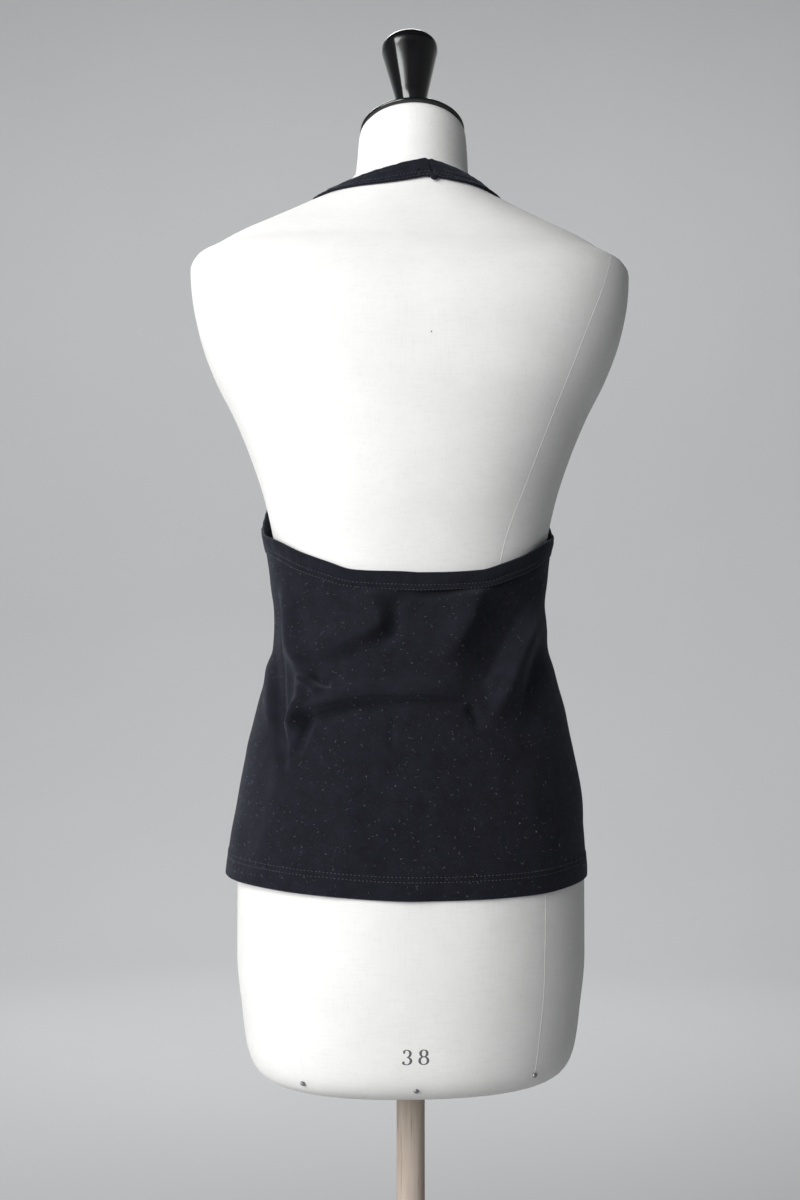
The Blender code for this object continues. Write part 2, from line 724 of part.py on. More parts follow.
def main():
    """Clear the scene and build every part."""
    for item in list(bpy.data.objects):
        bpy.data.objects.remove(item)
    add_garment(finish("jersey", (0.012, 0.012, 0.018), 0.9))
    add_form(finish("form_linen", (0.86, 0.85, 0.82), 0.85))
    add_neck_top(finish("black_lacquer", (0.006, 0.006, 0.007), 0.12))
    add_stand(finish("pale_wood", (0.42, 0.33, 0.25), 0.55))
    add_nails(finish("nail_steel", (0.60, 0.60, 0.60), 0.3, 1.0))


main()
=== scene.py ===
"""The looks of a halter neck top worn by a limbless dress form on a wooden stand.

Metres, +Z up; the top's front faces -Y and the wearer's left is +X.  A place on the cloth
is a turn in degrees round the form (0 at the left side seam, 90 at the centre back, -90
at the centre front) and a height above the underside of the form.
"""

import logging
import math
from dataclasses import dataclass
from enum import Enum
from typing import NamedTuple, Sequence

import bmesh
import bpy
import numpy as np
from mathutils import Matrix, Vector


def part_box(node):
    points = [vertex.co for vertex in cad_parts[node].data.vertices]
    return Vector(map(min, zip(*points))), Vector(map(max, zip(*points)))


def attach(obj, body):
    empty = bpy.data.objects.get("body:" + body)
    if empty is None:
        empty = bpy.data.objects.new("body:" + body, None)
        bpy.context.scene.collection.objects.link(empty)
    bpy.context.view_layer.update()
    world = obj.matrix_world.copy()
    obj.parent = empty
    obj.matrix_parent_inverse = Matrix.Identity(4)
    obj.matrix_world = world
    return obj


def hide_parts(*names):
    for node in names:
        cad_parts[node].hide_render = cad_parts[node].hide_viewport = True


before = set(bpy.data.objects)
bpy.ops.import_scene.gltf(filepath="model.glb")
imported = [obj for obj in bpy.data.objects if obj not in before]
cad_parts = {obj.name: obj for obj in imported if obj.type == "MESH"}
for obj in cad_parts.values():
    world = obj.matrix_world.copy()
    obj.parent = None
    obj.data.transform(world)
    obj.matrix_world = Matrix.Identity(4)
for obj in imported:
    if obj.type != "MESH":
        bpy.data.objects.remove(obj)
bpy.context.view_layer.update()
LOG = logging.getLogger("halter_top")
MM = 0.001

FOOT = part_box("dress_form")[0].z
NECK_TILT = math.radians(18.0)
NECK_TILT_FROM = 0.770
NECK_TILT_TO = 0.825
NECK_LEAN = 0.013
NECK_ASIDE = 0.003
SHARP_ANGLE = math.radians(40)
HEM_BAND = 0.0215


# ---------------------------------------------------------------- tables
class FormRow(NamedTuple):
    """A section of the form: its half-widths and the power of its roundness."""

    height: float
    side: float
    back: float
    front: float
    power: float


class EaseRow(NamedTuple):
    """How far the cloth stands off the form at a height, to each way."""

    height: float
    left: float
    right: float
    back: float
    front: float


class Station(NamedTuple):
    """A place on a line round the form."""

    turn: float
    height: float


class Turn(NamedTuple):
    """A point of a turned profile."""

    radius: float
    height: float


FORM_ROWS = (
    FormRow(0.000, 0.1100, 0.080, 0.074, 2.3),
    FormRow(0.004, 0.1245, 0.094, 0.088, 2.3),
    FormRow(0.012, 0.1355, 0.106, 0.097, 2.3),
    FormRow(0.022, 0.1412, 0.112, 0.101, 2.3),
    FormRow(0.036, 0.1450, 0.1155, 0.104, 2.3),
    FormRow(0.060, 0.1482, 0.119, 0.106, 2.3),
    FormRow(0.110, 0.1530, 0.124, 0.108, 2.3),
    FormRow(0.170, 0.1530, 0.126, 0.110, 2.3),
    FormRow(0.240, 0.1492, 0.120, 0.112, 2.3),
    FormRow(0.285, 0.1425, 0.109, 0.110, 2.3),
    FormRow(0.330, 0.1315, 0.095, 0.105, 2.3),
    FormRow(0.375, 0.1190, 0.083, 0.098, 2.3),
    FormRow(0.410, 0.1155, 0.077, 0.094, 2.3),
    FormRow(0.440, 0.1170, 0.078, 0.093, 2.3),
    FormRow(0.478, 0.1235, 0.084, 0.094, 2.3),
    FormRow(0.510, 0.1310, 0.091, 0.098, 2.3),
    FormRow(0.546, 0.1430, 0.097, 0.101, 2.35),
    FormRow(0.582, 0.1580, 0.101, 0.101, 2.4),
    FormRow(0.618, 0.1760, 0.104, 0.098, 2.5),
    FormRow(0.654, 0.1890, 0.104, 0.092, 2.6),
    FormRow(0.690, 0.1960, 0.099, 0.082, 2.7),
    FormRow(0.712, 0.1975, 0.090, 0.070, 2.7),
    FormRow(0.724, 0.1920, 0.083, 0.063, 2.6),
    FormRow(0.733, 0.1770, 0.077, 0.057, 2.5),
    FormRow(0.746, 0.1560, 0.070, 0.052, 2.4),
    FormRow(0.758, 0.1310, 0.064, 0.050, 2.3),
    FormRow(0.773, 0.0990, 0.058, 0.046, 2.2),
    FormRow(0.785, 0.0720, 0.055, 0.044, 2.1),
    FormRow(0.795, 0.0600, 0.052, 0.043, 2.0),
    FormRow(0.805, 0.0520, 0.050, 0.042, 2.0),
    FormRow(0.825, 0.0505, 0.049, 0.042, 2.0),
    FormRow(0.842, 0.0492, 0.048, 0.042, 2.0),
    FormRow(0.847, 0.0480, 0.047, 0.041, 2.0),
    FormRow(0.8495, 0.0455, 0.0445, 0.039, 2.0),
)
EASE_ROWS = (
    EaseRow(0.170, 0.0100, 0.0010, 0.0020, 0.0030),
    EaseRow(0.210, 0.0070, 0.0010, 0.0025, 0.0030),
    EaseRow(0.250, 0.0035, 0.0012, 0.0035, 0.0030),
    EaseRow(0.290, 0.0025, 0.0014, 0.0060, 0.0040),
    EaseRow(0.330, 0.0025, 0.0020, 0.0120, 0.0050),
    EaseRow(0.370, 0.0030, 0.0040, 0.0140, 0.0060),
    EaseRow(0.410, 0.0060, 0.0040, 0.0100, 0.0050),
    EaseRow(0.440, 0.0080, 0.0050, 0.0045, 0.0040),
    EaseRow(0.478, 0.0075, 0.0035, 0.0015, 0.0035),
    EaseRow(0.520, 0.0030, 0.0025, 0.0015, 0.0020),
    EaseRow(0.580, 0.0018, 0.0018, 0.0018, 0.0018),
    EaseRow(0.730, 0.0016, 0.0016, 0.0014, 0.0018),
    EaseRow(0.770, 0.0009, 0.0009, 0.0011, 0.0012),
    EaseRow(0.820, 0.0009, 0.0009, 0.0011, 0.0012),
)
HEM_ROWS = (
    Station(-180, 0.1790),
    Station(-90, 0.1750),
    Station(-30, 0.1785),
    Station(0, 0.1800),
    Station(30, 0.1790),
    Station(60, 0.1755),
    Station(90, 0.1715),
    Station(120, 0.1725),
    Station(150, 0.1765),
    Station(180, 0.1790),
)
EDGE_ROWS = (
    Station(90, 0.4390),
    Station(67, 0.4425),
    Station(56, 0.4490),
    Station(43, 0.4570),
    Station(26, 0.4686),
    Station(0, 0.4805),
    Station(-14, 0.4960),
    Station(-25, 0.5160),
    Station(-37, 0.5450),
    Station(-48, 0.5840),
    Station(-57, 0.6250),
    Station(-63, 0.6700),
    Station(-65, 0.7100),
    Station(-60, 0.7480),
    Station(-52, 0.7560),
)
# The neck band's middle from the centre back to the centre front, on each half.
NECK_FRONT_ROWS = (
    Station(-51, 0.7650),
    Station(-66, 0.7450),
    Station(-75, 0.7250),
    Station(-82, 0.7050),
    Station(-87, 0.6920),
    Station(-90, 0.6880),
)
NECK_RIGHT_ROWS = (
    Station(90, 0.7896),
    Station(84, 0.7906),
    Station(60, 0.7882),
    Station(30, 0.7858),
    Station(0, 0.7820),
    Station(-25, 0.7770),
) + NECK_FRONT_ROWS
NECK_LEFT_ROWS = (
    Station(90, 0.7896),
    Station(75, 0.7862),
    Station(60, 0.7838),
    Station(30, 0.7808),
    Station(0, 0.7797),
    Station(-25, 0.7775),
) + NECK_FRONT_ROWS


class SmoothTable:
    """Reads a table's other columns smoothly at values of its first column."""

    def __init__(self, rows: Sequence[Sequence[float]]) -> None:
        """Work out the slopes at the rows.

        Args:
            rows: the table, in rising order of its first column.
        """
        table = np.array(rows, dtype=float)
        self.keys, self.values = table[:, 0], table[:, 1:]
        self.steps = np.diff(self.keys)
        rises = np.diff(self.values, axis=0) / self.steps[:, None]
        self.slopes = np.vstack((rises[:1], np.zeros_like(rises[1:]), rises[-1:]))
        same_way = rises[:-1] * rises[1:] > 0
        total = np.where(same_way, rises[:-1] + rises[1:], 1.0)
        self.slopes[1:-1] = np.where(same_way, 2 * rises[:-1] * rises[1:] / total, 0.0)

    def __call__(self, keys: np.ndarray) -> np.ndarray:
        """Read the table.

        Args:
            keys: values of the first column, of any shape.

        Returns:
            The other columns, along a new last axis.
        """
        keys = np.clip(keys, self.keys[0], self.keys[-1])
        k = np.clip(np.searchsorted(self.keys, keys, side="right") - 1, 0, len(self.steps) - 1)
        step = self.steps[k][..., None]
        part = (keys - self.keys[k])[..., None] / step
        start = self.values[k] * (1 + 2 * part) * (1 - part) ** 2
        end = self.values[k + 1] * (3 - 2 * part) * part ** 2
        bend = self.slopes[k] * part * (1 - part) ** 2 - self.slopes[k + 1] * part ** 2 * (1 - part)
        return start + end + bend * step


def bell(distance: np.ndarray, width: float) -> np.ndarray:
    """Return 1 at no distance, falling off softly over a width."""
    return np.exp(-(distance / width) ** 2)


def eased(part: np.ndarray) -> np.ndarray:
    """Return a soft step from 0 to 1 over a part from 0 to 1."""
    part = np.clip(part, 0.0, 1.0)
    return part * part * (3 - 2 * part)


def run_along(points: np.ndarray, axis: int = 0) -> np.ndarray:
    """Return the distance from the first point to each, along one axis of a line or a grid."""
    steps = np.linalg.norm(np.diff(points, axis=axis), axis=-1)
    return np.concatenate((np.zeros_like(np.take(steps, [0], axis)), np.cumsum(steps, axis=axis)), axis=axis)


def unit(vectors: np.ndarray) -> np.ndarray:
    """Return vectors at a length of 1."""
    return vectors / np.linalg.norm(vectors, axis=-1, keepdims=True)


# ---------------------------------------------------------------- the form's and the cloth's surfaces
@dataclass(frozen=True)
class Bust:
    """The bust as two soft mounds, which the cloth bridges."""

    side: float = 0.075
    height: float = 0.525
    lift: float = 0.027
    width: float = 0.045
    above: float = 0.070
    below: float = 0.045
    cloth_below: float = 0.075
    cloth_bridge: float = 0.85

    def lift_at(self, x: np.ndarray, height: np.ndarray, dressed: bool) -> np.ndarray:
        """Return how far the bust, or the cloth over it, stands out.

        Args:
            x: distances of the places from the centre line.
            height: of the places.
            dressed: whether the cloth's lift is asked for, not the form's.

        Returns:
            The lift at each place.
        """
        rise = height - self.height
        below = self.cloth_below if dressed else self.below
        level = bell(rise, np.where(rise > 0, self.above, below))
        mounds = bell(x - self.side, self.width) + bell(x + self.side, self.width)
        if dressed:
            dip = (1 - self.cloth_bridge) * np.cos(x / self.side * math.pi / 2) ** 2
            mounds = np.where(np.abs(x) < self.side, 1 - dip, mounds)
        return self.lift * level * mounds


class Body:
    """The surfaces of the form and of the cloth's inner face, by turn and height."""

    corrections: int = 6

    def __init__(self) -> None:
        """Read the tables."""
        self.form_at = SmoothTable(FORM_ROWS)
        self.ease_at = SmoothTable(EASE_ROWS)
        self.hem_at = SmoothTable(HEM_ROWS)
        self.bust = Bust()

    @staticmethod
    def neck_share(height: np.ndarray) -> np.ndarray:
        """Return how much of the neck's tilt holds at heights."""
        return np.clip((height - NECK_TILT_FROM) / (NECK_TILT_TO - NECK_TILT_FROM), 0.0, 1.0)

    def tipped(self, x: np.ndarray, y: np.ndarray, height: np.ndarray) -> np.ndarray:
        """Put sections' points in the frame, tipped forward with the neck.

        Args:
            x: distances to the side.
            y: distances to the back.
            height: of the sections.

        Returns:
            The points.
        """
        part = self.neck_share(height)
        tilt = NECK_TILT * part
        return np.stack((x - NECK_ASIDE * part, y * np.cos(tilt) - NECK_LEAN * part,
                         FOOT + height + y * np.sin(tilt)), axis=-1)

    def widths(self, turn: np.ndarray, height: np.ndarray, dressed: bool) -> tuple:
        """Return a section's half-width, depth and power.

        Args:
            turn: of the places.
            height: of the places.
            dressed: whether the cloth is asked for, not the form.

        Returns:
            The half-widths, the depths and the powers.
        """
        side, back, front, power = np.moveaxis(self.form_at(height), -1, 0)
        to_left = np.cos(turn) > 0
        to_back = np.sin(turn) > 0
        depth = np.where(to_back, back, front)
        if dressed:
            left, right, behind, ahead = np.moveaxis(self.ease_at(height), -1, 0)
            side = side + np.where(to_left, left, right)
            depth = depth + np.where(to_back, behind, ahead)
        return side, depth, power

    def point(self, turn: np.ndarray, height: np.ndarray, dressed: bool = True) -> np.ndarray:
        """Return points of the cloth's inner face, or of the form.

        Args:
            turn: degrees round the form.
            height: above the form's underside.
            dressed: the cloth's face if true, else the form's.

        Returns:
            Points, along a new last axis.
        """
        turn = np.radians(np.asarray(turn, dtype=float))
        height = np.asarray(height, dtype=float)
        side, depth, power = self.widths(turn, height, dressed)
        across, along = np.cos(turn), np.sin(turn)
        x = np.copysign(np.abs(across) ** (2 / power) * side, across)
        y = np.copysign(np.abs(along) ** (2 / power) * depth, along)
        y = np.where(y < 0, y - self.bust.lift_at(x, height, dressed) * along ** 2, y)
        return self.tipped(x, y, height)

    def normal(self, turn: np.ndarray, height: np.ndarray, dressed: bool = True) -> np.ndarray:
        """Return the outward directions at places.

        Args:
            turn: of the places.
            height: of the places.
            dressed: whether the cloth is asked for, not the form.

        Returns:
            A unit vector for each place.
        """
        turn, height = np.asarray(turn, dtype=float), np.asarray(height, dtype=float)
        beside = self.point(turn + 1, height, dressed) - self.point(turn - 1, height, dressed)
        upward = self.point(turn, height + MM, dressed) - self.point(turn, height - MM, dressed)
        return unit(np.cross(beside, upward))

    def place(self, points: np.ndarray, near: np.ndarray) -> np.ndarray:
        """Return the turns, counted on from near ones, and the heights of points by the cloth."""
        height, turn = points[:, 2] - FOOT, np.array(near, dtype=float)
        for _ in range(self.corrections):
            part = self.neck_share(height)
            x = points[:, 0] + NECK_ASIDE * part
            y = (points[:, 1] + NECK_LEAN * part) / np.cos(NECK_TILT * part)
            height = points[:, 2] - FOOT - y * np.sin(NECK_TILT * part)
            angle = np.radians(turn)
            side, depth, power = self.widths(angle, height, True)
            lift = self.bust.lift_at(x, height, True) * np.sin(angle) ** 2
            y = np.where(np.sin(angle) < 0, y + lift, y)
            across = np.copysign(np.abs(x / side) ** (power / 2), x)
            along = np.copysign(np.abs(y / depth) ** (power / 2), y)
            turn = np.degrees(np.arctan2(along, across))
        return np.column_stack((turn + 360 * np.round((near - turn) / 360), height))

    def turn_at(self, x: np.ndarray, height: np.ndarray, behind: bool) -> np.ndarray:
        """Return the turns of the form's places at a distance from the centre line.

        Args:
            x: distances from the centre line.
            height: of the places.
            behind: whether they are on the form's back.

        Returns:
            The turns in degrees.
        """
        side, power = self.form_at(height)[..., 0], self.form_at(height)[..., 3]
        across = np.copysign(np.abs(x / side) ** (power / 2), x)
        turn = np.degrees(np.arccos(np.clip(across, -1.0, 1.0)))
        return turn if behind else -turn

    def room(self, turn: np.ndarray, height: np.ndarray) -> np.ndarray:
        """Return how far the cloth could sink before it touched the form."""
        angle = np.radians(turn)
        left, right, behind, ahead = np.moveaxis(self.ease_at(height), -1, 0)
        side = np.where(np.cos(angle) > 0, left, right)
        depth = np.where(np.sin(angle) > 0, behind, ahead)
        return side * np.cos(angle) ** 2 + depth * np.sin(angle) ** 2


BODY = Body()


# ---------------------------------------------------------------- lines along the cloth
def lengths(line: np.ndarray) -> np.ndarray:
    """Return the distance along a line of turns and heights, at each of its stations."""
    return run_along(BODY.point(line[:, 0], line[:, 1]))


def evened(line: np.ndarray, count: int) -> np.ndarray:
    """Spread a line's stations evenly over a count."""
    reach = lengths(line)
    stops = np.linspace(0, reach[-1], count)
    return np.column_stack([np.interp(stops, reach, line[:, k]) for k in range(2)])


def line_through(rows: Sequence[Station], count: int = 1500) -> np.ndarray:
    """Return many stations on a smooth line through a table's rows."""
    rows = np.array(rows, dtype=float)
    reach = lengths(rows)
    read = SmoothTable(np.column_stack((reach, rows)))
    return evened(read(np.linspace(0, reach[-1], count)), count)


def shifted(line: np.ndarray, distance: float | np.ndarray) -> np.ndarray:
    """Move a line along the cloth, to the hand that is down on the back and out from the neck."""
    points = BODY.point(line[:, 0], line[:, 1])
    aside = unit(np.cross(BODY.normal(line[:, 0], line[:, 1]), np.gradient(points, axis=0)))
    return BODY.place(points + aside * np.reshape(distance, (-1, 1)), line[:, 0])


def mirrored(line: np.ndarray) -> np.ndarray:
    """Return a line's mirror image on the other half of the top, read the other way."""
    return np.column_stack((180 - line[:, 0], line[:, 1]))[::-1]


def crossing(line: np.ndarray, other: np.ndarray) -> tuple[int, int]:
    """Return the indices where two lines come nearest to each other."""
    here, there = BODY.point(line[:, 0], line[:, 1]), BODY.point(other[:, 0], other[:, 1])
    apart = np.linalg.norm(here[:, None] - there[None, :], axis=2)
    first, second = np.unravel_index(np.argmin(apart), apart.shape)
    return int(first), int(second)


# ---------------------------------------------------------------- folds
@dataclass(frozen=True)
class Fold:
    """A soft ridge (+) or trough (-) along a path of distances to the left and heights.

    The upper width is on the side above it, and the lower one on the side below it.
    """

    path: tuple[tuple[float, float], ...]
    lift: float
    upper: float
    lower: float
    fade: float = 0.35
    finer: int = 8

    def line(self) -> np.ndarray:
        """Return the path as a smooth line of many points."""
        points = np.array(self.path)
        keys = np.linspace(0, 1, len(points))
        return SmoothTable(np.column_stack((keys, points)))(np.linspace(0, 1, self.finer * len(points)))

    def lift_at(self, x: np.ndarray, height: np.ndarray) -> np.ndarray:
        """Return the fold's lift at places, which dies away across it and at its ends."""
        line = self.line()
        start, run = line[:-1], np.diff(line, axis=0)
        size, reach = np.linalg.norm(run, axis=1), run_along(line)
        off_x = x[..., None] - start[:, 0]
        off_z = height[..., None] - start[:, 1]
        part = np.clip((off_x * run[:, 0] + off_z * run[:, 1]) / size ** 2, 0.0, 1.0)
        off_x -= part * run[:, 0]
        off_z -= part * run[:, 1]
        nearest = np.argmin(off_x ** 2 + off_z ** 2, axis=-1)[..., None]
        off_x = np.take_along_axis(off_x, nearest, -1)[..., 0]
        off_z = np.take_along_axis(off_z, nearest, -1)[..., 0]
        part = np.take_along_axis(part, nearest, -1)[..., 0]
        nearest = nearest[..., 0]
        along = (reach[nearest] + part * size[nearest]) / reach[-1]
        whole = line[-1] - line[0]
        above = (off_z * whole[0] - off_x * whole[1]) * np.sign(whole[0] or 1.0)
        away = np.hypot(off_x, off_z)
        across = np.where(above > 0, bell(away, self.upper), bell(away, self.lower))
        return self.lift * across * eased(np.minimum(along, 1 - along) / self.fade)


BACK_FOLDS = (
    # the waist's soft roll, steep on its lower side, which makes the main crease
    Fold(((0.106, 0.314), (0.097, 0.3205), (0.0785, 0.3260), (0.062, 0.3310), (0.0437, 0.3340),
          (0.020, 0.3350), (-0.010, 0.3345), (-0.044, 0.3305)), 0.0050, 0.0150, 0.0025),
    Fold(((0.114, 0.296), (0.105, 0.3105), (0.093, 0.3215), (0.078, 0.3262), (0.058, 0.3315)),
         0.0030, 0.0070, 0.0022),
    Fold(((0.100, 0.308), (0.0785, 0.3160), (0.0437, 0.3260), (0.000, 0.3260)), -0.0012, 0.0030, 0.0070),
    # the fullness at the upper left, which drops away to its lower right
    Fold(((0.034, 0.448), (0.040, 0.424), (0.0330, 0.3980), (0.048, 0.3850), (0.070, 0.3760),
          (0.122, 0.3670)), 0.0046, 0.0200, 0.0078),
    Fold(((0.012, 0.436), (0.020, 0.408), (0.024, 0.388), (0.048, 0.370)), -0.0016, 0.0070, 0.0080),
    # the ridge down from the right, and the broad hollow beyond it, steep on its far side
    Fold(((-0.060, 0.444), (-0.050, 0.424), (-0.044, 0.402), (-0.030, 0.379), (-0.010, 0.362)),
         0.0034, 0.0180, 0.0080),
    Fold(((-0.114, 0.440), (-0.095, 0.417), (-0.078, 0.391), (-0.064, 0.364), (-0.054, 0.343),
          (-0.056, 0.320)), -0.0060, 0.0210, 0.0056),
    # the long ridge down from the right side seam, and the hollow outside it
    Fold(((-0.114, 0.418), (-0.1000, 0.3940), (-0.0850, 0.3680), (-0.0745, 0.345), (-0.062, 0.321),
          (-0.050, 0.304)), 0.0038, 0.0052, 0.0100),
    Fold(((-0.122, 0.392), (-0.106, 0.362), (-0.096, 0.330), (-0.090, 0.292)), -0.0034, 0.0090, 0.0110),
    Fold(((-0.038, 0.330), (-0.046, 0.316), (-0.050, 0.306)), -0.0028, 0.0045, 0.0045),
    # the upright channel at the left side, and the ridge beside it
    Fold(((0.1260, 0.420), (0.1250, 0.380), (0.1245, 0.340), (0.1240, 0.290)), 0.0013, 0.0040, 0.0040),
    Fold(((0.1185, 0.436), (0.1175, 0.390), (0.1165, 0.350), (0.1145, 0.300), (0.110, 0.262)),
         -0.0066, 0.0034, 0.0034),
    Fold(((0.114, 0.444), (0.1090, 0.410), (0.103, 0.378), (0.0955, 0.348), (0.0975, 0.312), (0.102, 0.288)),
         0.0036, 0.0074, 0.0066),
    Fold(((0.100, 0.352), (0.087, 0.342), (0.080, 0.331)), 0.0034, 0.0056, 0.0036),
    Fold(((0.089, 0.353), (0.081, 0.346), (0.070, 0.343)), -0.0022, 0.0030, 0.0030),
    Fold(((0.086, 0.326), (0.093, 0.310), (0.100, 0.294), (0.106, 0.280)), -0.0034, 0.0030, 0.0040),
    Fold(((0.094, 0.338), (0.101, 0.318), (0.107, 0.300)), 0.0028, 0.0050, 0.0040),
    # the hollow under the band on the right
    Fold(((0.030, 0.4235), (0.000, 0.4225), (-0.030, 0.4265), (-0.062, 0.436), (-0.094, 0.452)),
         -0.0030, 0.0030, 0.0060),
    # faint puckers and long soft waves over the hips
    Fold(((0.022, 0.320), (0.0245, 0.304), (0.025, 0.286)), -0.0008, 0.0036, 0.0036),
    Fold(((0.075, 0.290), (0.060, 0.240), (0.055, 0.185)), 0.0012, 0.0150, 0.0150),
    Fold(((-0.030, 0.300), (-0.045, 0.240), (-0.050, 0.180)), -0.0010, 0.0160, 0.0160),
    Fold(((0.128, 0.300), (0.140, 0.240), (0.150, 0.178)), -0.0022, 0.0100, 0.0120),
    Fold(((-0.082, 0.290), (-0.094, 0.240), (-0.100, 0.180)), 0.0012, 0.0120, 0.0120),
)
FRONT_FOLDS = (
    Fold(((0.112, 0.470), (0.090, 0.440), (0.066, 0.414), (0.040, 0.398)), 0.0034, 0.0130, 0.0070),
    Fold(((0.120, 0.450), (0.098, 0.424), (0.076, 0.402)), -0.0026, 0.0070, 0.0090),
    Fold(((-0.112, 0.474), (-0.092, 0.446), (-0.070, 0.422), (-0.046, 0.408)), 0.0034, 0.0120, 0.0070),
    Fold(((-0.122, 0.440), (-0.094, 0.412), (-0.060, 0.396)), -0.0024, 0.0080, 0.0080),
    Fold(((0.096, 0.372), (0.040, 0.360), (-0.024, 0.362)), -0.0030, 0.0070, 0.0090),
    Fold(((0.084, 0.386), (0.030, 0.376), (-0.030, 0.378)), 0.0022, 0.0100, 0.0080),
    Fold(((-0.104, 0.378), (-0.076, 0.358), (-0.040, 0.346)), -0.0026, 0.0060, 0.0090),
    Fold(((-0.108, 0.352), (-0.074, 0.334), (-0.030, 0.326)), 0.0020, 0.0100, 0.0100),
    Fold(((0.110, 0.336), (0.074, 0.322), (0.044, 0.320)), 0.0020, 0.0090, 0.0090),
    Fold(((0.078, 0.640), (0.076, 0.600), (0.070, 0.560)), 0.0014, 0.0070, 0.0070),
    Fold(((-0.072, 0.644), (-0.072, 0.604), (-0.064, 0.562)), 0.0012, 0.0070, 0.0070),
    Fold(((0.050, 0.690), (0.044, 0.640), (0.028, 0.590)), -0.0012, 0.0080, 0.0080),
    Fold(((-0.046, 0.690), (-0.042, 0.646), (-0.024, 0.600)), -0.0012, 0.0080, 0.0080),
    Fold(((0.064, 0.290), (0.056, 0.240), (0.056, 0.184)), 0.0012, 0.0150, 0.0150),
    Fold(((-0.050, 0.300), (-0.050, 0.240), (-0.058, 0.184)), -0.0010, 0.0160, 0.0160),
)


class Waves:
    """A faint unevenness made of many small waves, the same at each run."""

    def __init__(self, seed: int, count: int, shortest: float, longest: float, lift: float) -> None:
        """Draw the waves.

        Args:
            seed: of the random draws.
            count: how many waves.
            shortest: least wavelength.
            longest: greatest wavelength.
            lift: typical height of the sum.
        """
        draw = np.random.RandomState(seed)
        angle = draw.uniform(0, math.pi, count)
        size = 2 * math.pi / draw.uniform(shortest, longest, count)
        self.across, self.up = np.cos(angle) * size, np.sin(angle) * size
        self.phase = draw.uniform(0, 2 * math.pi, count)
        self.lift = lift * math.sqrt(2 / count)

    def lift_at(self, across: np.ndarray, up: np.ndarray) -> np.ndarray:
        """Return the sum of the waves at places."""
        angle = across[..., None] * self.across + up[..., None] * self.up + self.phase
        return np.sin(angle).sum(axis=-1) * self.lift


# ---------------------------------------------------------------- mesh making
def put(name: str, data: bpy.types.ID) -> bpy.types.Object:
    """Put a mesh, a light or a camera in the scene as an object."""
    item = bpy.data.objects.new(name, data)
    bpy.context.scene.collection.objects.link(item)
    return item


def new_object(name: str, points: np.ndarray, faces: list,
               corners: np.ndarray | None = None) -> bpy.types.Object:
    """Make a smooth-shaded object.

    Args:
        name: of the object and its mesh.
        points: the vertices.
        faces: tuples of vertex numbers.
        corners: places on the cloth's own map, in metres, one for each face corner.

    Returns:
        The new object.
    """
    mesh = bpy.data.meshes.new(name)
    mesh.from_pydata(np.asarray(points).tolist(), [], faces)
    if corners is not None:
        layer = mesh.uv_layers.new(name="weave")
        layer.uv.foreach_set("vector", np.asarray(corners, dtype=np.float32).ravel())
    mesh.shade_smooth()
    return put(name, mesh)


def grid_faces(rows: int, columns: int, first: int = 0) -> np.ndarray:
    """Return the quads of a grid of vertices.

    Args:
        rows: of the grid.
        columns: of the grid.
        first: the first vertex's number.

    Returns:
        Four vertex numbers for each quad.
    """
    corner = first + np.arange(rows - 1)[:, None] * columns + np.arange(columns - 1)
    return np.stack((corner, corner + 1, corner + columns + 1, corner + columns), -1).reshape(-1, 4)


def shell(name: str, outer: np.ndarray, inner: np.ndarray, chart: np.ndarray) -> bpy.types.Object:
    """Make a thin closed wall between two grids of points, with a rounded rim.

    Args:
        name: of the object.
        outer: the outer face's points, by row and column.
        inner: the inner face's points.
        chart: each point's place on the cloth's own map.

    Returns:
        The new object.
    """
    rows, columns = outer.shape[:2]
    count = rows * columns
    ring = np.concatenate((
        np.arange(columns - 1),
        np.arange(rows - 1) * columns + columns - 1,
        (rows - 1) * columns + np.arange(columns - 1, 0, -1),
        np.arange(rows - 1, 0, -1) * columns,
    ))
    row, column = ring // columns, ring % columns
    inside = np.clip(row, 1, rows - 2) * columns + np.clip(column, 1, columns - 2)
    flat_outer, flat_inner = outer.reshape(-1, 3), inner.reshape(-1, 3)
    middle = (flat_outer[ring] + flat_inner[ring]) / 2
    outward = unit(middle - (flat_outer[inside] + flat_inner[inside]) / 2)
    half = np.linalg.norm(flat_outer[ring] - flat_inner[ring], axis=1, keepdims=True) / 2
    points = np.vstack((flat_outer, flat_inner, middle + outward * half))
    front = grid_faces(rows, columns)
    back = grid_faces(rows, columns, count)[:, ::-1]
    after = np.roll(ring, -1)
    rim = 2 * count + np.arange(len(ring))
    rim_after = np.roll(rim, -1)
    upper = np.stack((after, ring, rim, rim_after), -1)
    lower = np.stack((rim_after, rim, ring + count, after + count), -1)
    faces = np.vstack((front, back, upper, lower))
    first = points[front[:, 1]] - points[front[:, 0]]
    second = points[front[:, 3]] - points[front[:, 0]]
    if np.einsum("ij,ij->", np.cross(first, second), (flat_outer - flat_inner)[front[:, 0]]) < 0:
        faces = faces[:, ::-1]
    places = chart.reshape(-1, 2)
    places = np.vstack((places, places, places[ring]))
    return new_object(name, points, faces.tolist(), places[faces.ravel()])


